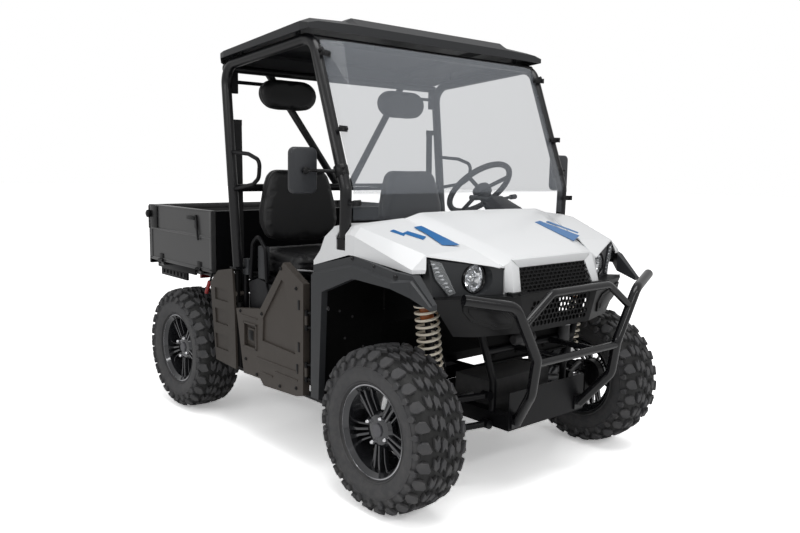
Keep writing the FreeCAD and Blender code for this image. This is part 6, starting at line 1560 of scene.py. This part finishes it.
class UTV_OT_doors(bpy.types.Operator):
    """Build the door latches, trim and bolts, and the mouldings behind the doors"""

    bl_idname = "utv.doors"
    bl_label = "Door and sill details"

    # The door's face, across from the middle, and its bolts and slots, back and up
    face = 724
    bolts = ((690, 886), (568, 812), (855, 655), (1002, 412), (568, 366), (1050, 640),
             (700, 345), (900, 356))
    slots = ((548, 742), (548, 555), (560, 455))
    # The frame round the latch, its pocket, then the raised lines
    trim = (((723, 897, 470), (729, 1019, 480), 0.0022),
            ((723, 1009, 470), (729, 1019, 596), 0.0022),
            ((723, 897, 586), (729, 1019, 596), 0.0022),
            ((723, 897, 470), (729, 907, 596), 0.0022),
            ((712, 925, 505), (721, 990, 570), 0.004),
            ((723, 556, 436), (727.5, 900, 444), 0.0015),
            ((723, 556, 400), (727.5, 740, 406), 0.0015),
            ((723, 760, 372), (727.5, 860, 380), 0.0015),
            ((723, 895, 620), (727.5, 1045, 626), 0.0015))
    latch = (((721, 934, 512), (726, 976, 560), 0.004),
             ((723, 941, 519), (729, 969, 553), 0.004))
    seal = (((682, 1096, 344), (698, 1142, 668), 0.004),
            ((682, 1122, 650), (698, 1154, 826), 0.004))
    sill = ((629, 712, 380), (646, 1080, 780), 0.006)
    sill_cheek = (((646, 1060, 640), (646, 1086, 770), (646, 1000, 800), (646, 930, 790),
                   (646, 900, 700), (646, 930, 600)), (0.012, 0, 0), 0.004)
    sill_bar = (((660, 905, 600), (662, 888, 660), (662, 880, 720), (662, 840, 770),
                 (660, 780, 800)), 0.007, 10)
    boxes = (((640, 1066, 806), (672, 1118, 886), 0.006),
             ((632, 930, 800), (662, 992, 958), 0.006))

    def execute(self, context):
        bolts = [((self.face, back, up), AXLE, 0.0085, 0.006) for back, up in self.bolts]
        slots = [((self.face - 2, back - 7, up - 22), (self.face + 3, back + 7, up + 22),
                  0.002) for back, up in self.slots]
        for side in SIDES:
            door, signs = f"door_{side}", (side_sign(side),)
            make(f"door_bolts_{side}", door, "black_plastic", "Black moulding", signs,
                 bolts=bolts, blocks=slots)
            make(f"door_trim_{side}", door, "brown_grey_plastic", "Door plastic", signs,
                 blocks=self.trim)
            make(f"door_latch_{side}", door, "black_plastic", "Black moulding", signs,
                 blocks=self.latch)
            make(f"door_seal_{side}", "chassis", "black_plastic", "Well liner", signs,
                 blocks=self.seal)
            make(f"sill_moulding_{side}", "chassis", "black_plastic", "Cab moulding", signs,
                 blocks=[self.sill], plates=[self.sill_cheek], bars=[self.sill_bar])
            make(f"seat_boxes_{side}", "chassis", "black_plastic", "Flare plastic", signs,
                 blocks=self.boxes)
        return {"FINISHED"}


class UTV_OT_controls(bpy.types.Operator):
    """Build the steering column's shroud and stalks, and the wheel's centre"""

    bl_idname = "utv.controls"
    bl_label = "Steering controls"

    shroud = (((332, 418, 1210), (428, 418, 1210), (440, 440, 1150), (320, 440, 1150)),
              ((300, 230, 1120), (460, 230, 1120), (460, 236, 1092), (300, 236, 1092)), 0.012)
    stalks = [(((430, 420, 1188), (490, 425, 1196), (530, 430, 1198)), 0.008, 12),
              (((330, 420, 1188), (270, 425, 1196), (230, 430, 1198)), 0.008, 12)]
    grips = [(((508, 428, 1197), (548, 432, 1199)), 0.013, 14),
             (((252, 428, 1197), (212, 432, 1199)), 0.013, 14)]
    boss = ((0.0, 0.030), (0.034, 0.028), (0.046, 0.018), (0.050, 0.0), (0.046, -0.022),
            (0.0, -0.022))

    def execute(self, context):
        make("column_shroud", "chassis", "black_plastic", "Cab moulding", lofts=[self.shroud])
        make("column_stalks", "chassis", "dark_grey_plastic", "Mirror shell",
             bars=self.stalks + self.grips)
        make("wheel_centre", "steering", "black_plastic", "Wheel rim grip",
             turnings=[(self.boss, (380, 512, 1226), (0, 0.71, 0.71), 32)])
        return {"FINISHED"}


class UTV_OT_springs(bpy.types.Operator):
    """Build the coil springs and the dampers inside them"""

    bl_idname = "utv.springs"
    bl_label = "Springs and dampers"

    # Head and foot of each pair, and how far the coil starts and ends from them
    pairs = (((500, -10, 862), (440, -10, 432), 0.056, 0.088),
             ((400, 1720, 658), (440, 1720, 431), 0.056, 0.042))
    # Turns of the long coils and of those shorter than the limit, and steps in a turn
    turns, few_turns, short_coil, turn_steps = 10, 7, 0.2, 16
    wire, coil, rod = 0.0056, 0.046, 0.012
    upper_seat = ((0.0, -0.006), (0.052, -0.006), (0.053, 0.0), (0.040, 0.003), (0.0, 0.003))
    lower_seat = ((0.0, -0.003), (0.050, -0.003), (0.052, 0.004), (0.0, 0.005))
    eye = ((0.0, -0.017), (0.016, -0.017), (0.018, -0.014), (0.018, 0.014), (0.016, 0.017),
           (0.0, 0.017))
    cap = ((0.0, 0.004), (0.026, 0.004), (0.028, 0.012), (0.028, 0.060), (0.018, 0.070),
           (0.0, 0.070))

    def execute(self, context):
        coils, dampers, caps = bmesh.new(), bmesh.new(), bmesh.new()
        for head, foot, start, end in self.pairs:
            for sign in BOTH:
                top, low = spots((head, foot), sign)
                down = (low - top).normalized()
                length = (low - top).length - (start + end)
                first = top + down * start
                self.add_coil(coils, first, down, length)
                self.add_damper(dampers, (top, low), first, down, length)
                turned(caps, self.cap, first, down, 24)
        made = piece(coils, "coil_springs", "chassis", "Spring paint", 60.0)
        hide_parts("shocks")
        piece(dampers, "damper_bodies", "chassis", "Powder coat")
        piece(caps, "damper_caps", "chassis", "Damper orange")
        return {"FINISHED"}

    def add_coil(self, bm, first, down, length):
        """One coil, wound from its first point down."""
        side = down.orthogonal().normalized()
        across = down.cross(side)
        turns = self.turns if length > self.short_coil else self.few_turns
        steps = turns * self.turn_steps
        points = []
        for step in range(steps + 1):
            angle = math.tau * step / self.turn_steps
            points.append(first + down * (length * step / steps)
                          + side * self.coil * math.cos(angle)
                          + across * self.coil * math.sin(angle))
        tube_along(bm, points, self.wire, 10)

    def add_damper(self, bm, ends, first, down, length):
        """The damper in a coil: rod and tube, both seats, both eyes and the upper rod."""
        turned(bm, [(0.0, 0.02), (0.012, 0.02), (0.012, length * 0.55), (0.021, length * 0.55),
                    (0.022, length + 0.07), (0.0, length + 0.07)], first, down, 24)
        turned(bm, self.upper_seat, first, down, 32)
        turned(bm, self.lower_seat, first + down * length, down, 32)
        for end in ends:
            turned(bm, self.eye, end, (0, 1, 0), 20)
        tube_along(bm, [ends[0], first], self.rod, 14)


class UTV_OT_fasteners(bpy.types.Operator):
    """Fit the rivets in the wheel wells and the bolts of the flares"""

    bl_idname = "utv.fasteners"
    bl_label = "Rivets and bolts"

    # Across and up on the well's rear wall, and how far back the wall is
    rivets = ((629, 732), (560, 700), (600, 610), (500, 560), (640, 480))
    wall = 380
    bolt_shape = ((0.009, -0.001), (0.009, 0.002), (0.006, 0.003), (0.005, 0.006),
                  (0.0, 0.007))
    flare_bolts = (((724, 174, 985), AXLE), ((722, 40, 968), AXLE),
                   ((718, -81, 940), (0.86, -0.52, 0)), ((724, 300, 900), AXLE),
                   ((724, 330, 760), AXLE))

    def execute(self, context):
        make("well_rivets", "chassis", "frame_black", "Cast casing", BOTH,
             bolts=[((across, self.wall, up), AHEAD, 0.006, 0.003)
                    for across, up in self.rivets])
        make("flare_bolts", "chassis", "black_plastic", "Gloss bar", BOTH,
             turnings=[(self.bolt_shape, place, out, 16) for place, out in self.flare_bolts])
        return {"FINISHED"}


class UTV_OT_mirrors(bpy.types.Operator):
    """Build the side mirrors with domed shells, glass, arms and clamps"""

    bl_idname = "utv.mirrors"
    bl_label = "Mirrors"

    # Outer front foot and inner back head of a shell, and the glass's border and half
    shell = ((888, 356, 1232), (762, 388, 1418))
    border, glass_half = 0.006, 0.001
    foot = (((0.013, 0.0), (0.015, 0.008), (0.011, 0.016), (0.0, 0.018)), (826, 352, 1325),
            AHEAD, 20)
    clamp = (((0.0, -0.022), (0.028, -0.022), (0.030, -0.018), (0.030, 0.018),
              (0.028, 0.022), (0.0, 0.022)), (700, 281, 1325), (0, 0.34, 0.94), 28)
    arm = (((826, 344, 1325), (792, 318, 1325), (756, 296, 1325), (724, 288, 1325)), 0.0075,
           12)
    bolts = (((712, 252, 1311), AHEAD, 0.006, 0.005), ((712, 252, 1339), AHEAD, 0.006, 0.005))

    def execute(self, context):
        shells, glass = bmesh.new(), bmesh.new()
        for sign in BOTH:
            low, high = spots(self.shell, sign)
            low.x, high.x = min(low.x, high.x), max(low.x, high.x)
            tablet(shells, low, high, 1, 0.026, 0.009)
            inset = Vector((self.border, -self.glass_half, self.border))
            low.y = high.y
            tablet(glass, low + inset, high - inset, 1, 0.022, 0.0)
        made = piece(shells, "mirror_shells", "chassis", "Mirror shell")
        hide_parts("mirrors")
        piece(glass, "mirror_glass", "chassis", "Lamp chrome")
        make("mirror_arms", "chassis", "black_plastic", "Black moulding", BOTH,
             turnings=(self.foot, self.clamp), bars=[self.arm], bolts=self.bolts)
        return {"FINISHED"}


class UTV_OT_bed(bpy.types.Operator):
    """Build the cargo bed's ribs, latches, tailgate, rails and tip lever"""

    bl_idname = "utv.bed"
    bl_label = "Cargo bed details"

    swage = (((690, 1400, 955), (690, 2132, 955), (690, 2132, 972), (690, 1400, 972)),
             ((695, 1404, 961), (695, 2128, 961), (695, 2128, 967), (695, 1404, 967)), 0.001)
    ribs = (((664, 1396, 1094), (694, 2136, 1102), 0.003),
            ((689, 1396, 782), (694, 2136, 800), 0.002),
            ((689, 1396, 790), (694, 1416, 1098), 0.002),
            ((689, 2116, 790), (694, 2136, 1098), 0.002))
    latch = (((690, 1560, 1044), (706, 1650, 1064), 0.004),
             ((690, 1552, 1000), (700, 1572, 1072), 0.003),
             ((690, 2040, 968), (698, 2118, 1092), 0.003),
             ((690, 1512, 790), (696, 1556, 826), 0.002),
             ((690, 1974, 790), (696, 2018, 826), 0.002))
    latch_arm = (((694, 1548, 1060), (694, 1568, 1060), (694, 1540, 940), (694, 1528, 940)),
                 (0.008, 0, 0), 0.002)
    hinges = ((((697, 1508, 786), (697, 1560, 786)), 0.009, 12),
              (((697, 1970, 786), (697, 2022, 786)), 0.009, 12))
    # The tailgate's plate, its frame, its two uprights and the three parts of its rail
    gate = (((-684, 2147, 762), (684, 2159, 1094)),
            ((-690, 2143, 756), (690, 2165, 786), 0.003),
            ((-690, 2143, 1072), (690, 2165, 1100), 0.003),
            ((-690, 2143, 758), (-660, 2165, 1098), 0.003),
            ((660, 2143, 758), (690, 2165, 1098), 0.003),
            ((-245, 2157, 780), (-205, 2164, 1078), 0.003),
            ((205, 2157, 780), (245, 2164, 1078), 0.003),
            ((-664, 2157, 922), (-241, 2163, 938), 0.003),
            ((-209, 2157, 922), (209, 2163, 938), 0.003),
            ((241, 2157, 922), (664, 2163, 938), 0.003))
    corner_knob = (((0.0, 0.0), (0.020, 0.0), (0.022, 0.006), (0.022, 0.020), (0.012, 0.026),
                    (0.0, 0.026)), (690, 2141, 1046), AXLE, 20)
    corner_plate = ((686, 2138, 960), (694, 2164, 1092), 0.002)
    rail = [((650, 1640, 738), (664, 2110, 772), 0.003),
            ((640, 1760, 692), (654, 2090, 742), 0.004)]
    rail_slots, first_slot, slot_pitch, slot_length = 7, 1782, 44, 24
    lever = (((-600, 1560, 760), (-610, 1562, 726), (-622, 1570, 690)), 0.006, 10)
    grip = (((-616, 1566, 712), (-624, 1571, 680), (-632, 1578, 644)), 0.011, 14)

    def execute(self, context):
        backs = [self.first_slot + step * self.slot_pitch for step in range(self.rail_slots)]
        slots = [((652, back, 706), (658, back + self.slot_length, 728), 0.002)
                 for back in backs]
        for side in SIDES:
            body, signs = f"bed_side_{side}", (side_sign(side),)
            make(f"bed_side_ribs_{side}", body, "bed_grey", "Bed paint", signs,
                 lofts=[self.swage], blocks=self.ribs)
            make(f"bed_side_latch_{side}", body, "frame_black", "Black moulding", signs,
                 blocks=self.latch, plates=[self.latch_arm], bars=self.hinges)
            make(f"tailgate_latch_{side}", "tailgate", "frame_black", "Black moulding", signs,
                 turnings=[self.corner_knob], blocks=[self.corner_plate])
            make(f"bed_rail_{side}", "bed", "frame_black", "Powder coat", signs,
                 blocks=self.rail + slots)
        make("tip_lever", "bed", "frame_black", "Black moulding", bars=[self.lever])
        make("tip_grip", "bed", "lamp_red", "Tail lens", bars=[self.grip])
        made = make("tailgate_panel", "tailgate", "bed_grey", "Bed paint", blocks=self.gate)
        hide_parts("tailgate")
        return {"FINISHED"}


# The panel and the run


OPERATORS = (UTV_OT_finishes, UTV_OT_stage, UTV_OT_tyres, UTV_OT_rims, UTV_OT_seats,
             UTV_OT_nose, UTV_OT_lamps, UTV_OT_bay, UTV_OT_pane, UTV_OT_doors, UTV_OT_mirrors,
             UTV_OT_bed, UTV_OT_controls, UTV_OT_springs, UTV_OT_fasteners)
GROUPS = (("utv_stage", StageSettings), ("utv_colours", BodyColours),
          ("utv_tyres", TyreSizes), ("utv_rims", RimSizes), ("utv_seats", SeatSizes),
          ("utv_front", FrontSizes))


class UTV_PT_panel(bpy.types.Panel):
    """Lists the operators that build the vehicle"""

    bl_idname = "UTV_PT_panel"
    bl_label = "Utility vehicle"
    bl_space_type = "VIEW_3D"
    bl_region_type = "UI"
    bl_category = "Utility vehicle"

    def draw(self, context):
        for operator in OPERATORS:
            self.layout.operator(operator.bl_idname)


def register():
    for name, settings in GROUPS:
        bpy.utils.register_class(settings)
        setattr(bpy.types.Scene, name, PointerProperty(type=settings))
    for operator in OPERATORS:
        bpy.utils.register_class(operator)
    bpy.utils.register_class(UTV_PT_panel)


def unregister():
    bpy.utils.unregister_class(UTV_PT_panel)
    for operator in reversed(OPERATORS):
        bpy.utils.unregister_class(operator)
    for name, settings in reversed(GROUPS):
        delattr(bpy.types.Scene, name)
        bpy.utils.unregister_class(settings)


def main():
    """Builds everything in order."""
    register()
    for operator in OPERATORS:
        group_name, call = operator.bl_idname.split(".")
        getattr(getattr(bpy.ops, group_name), call)()


if __name__ == "__main__":
    main()
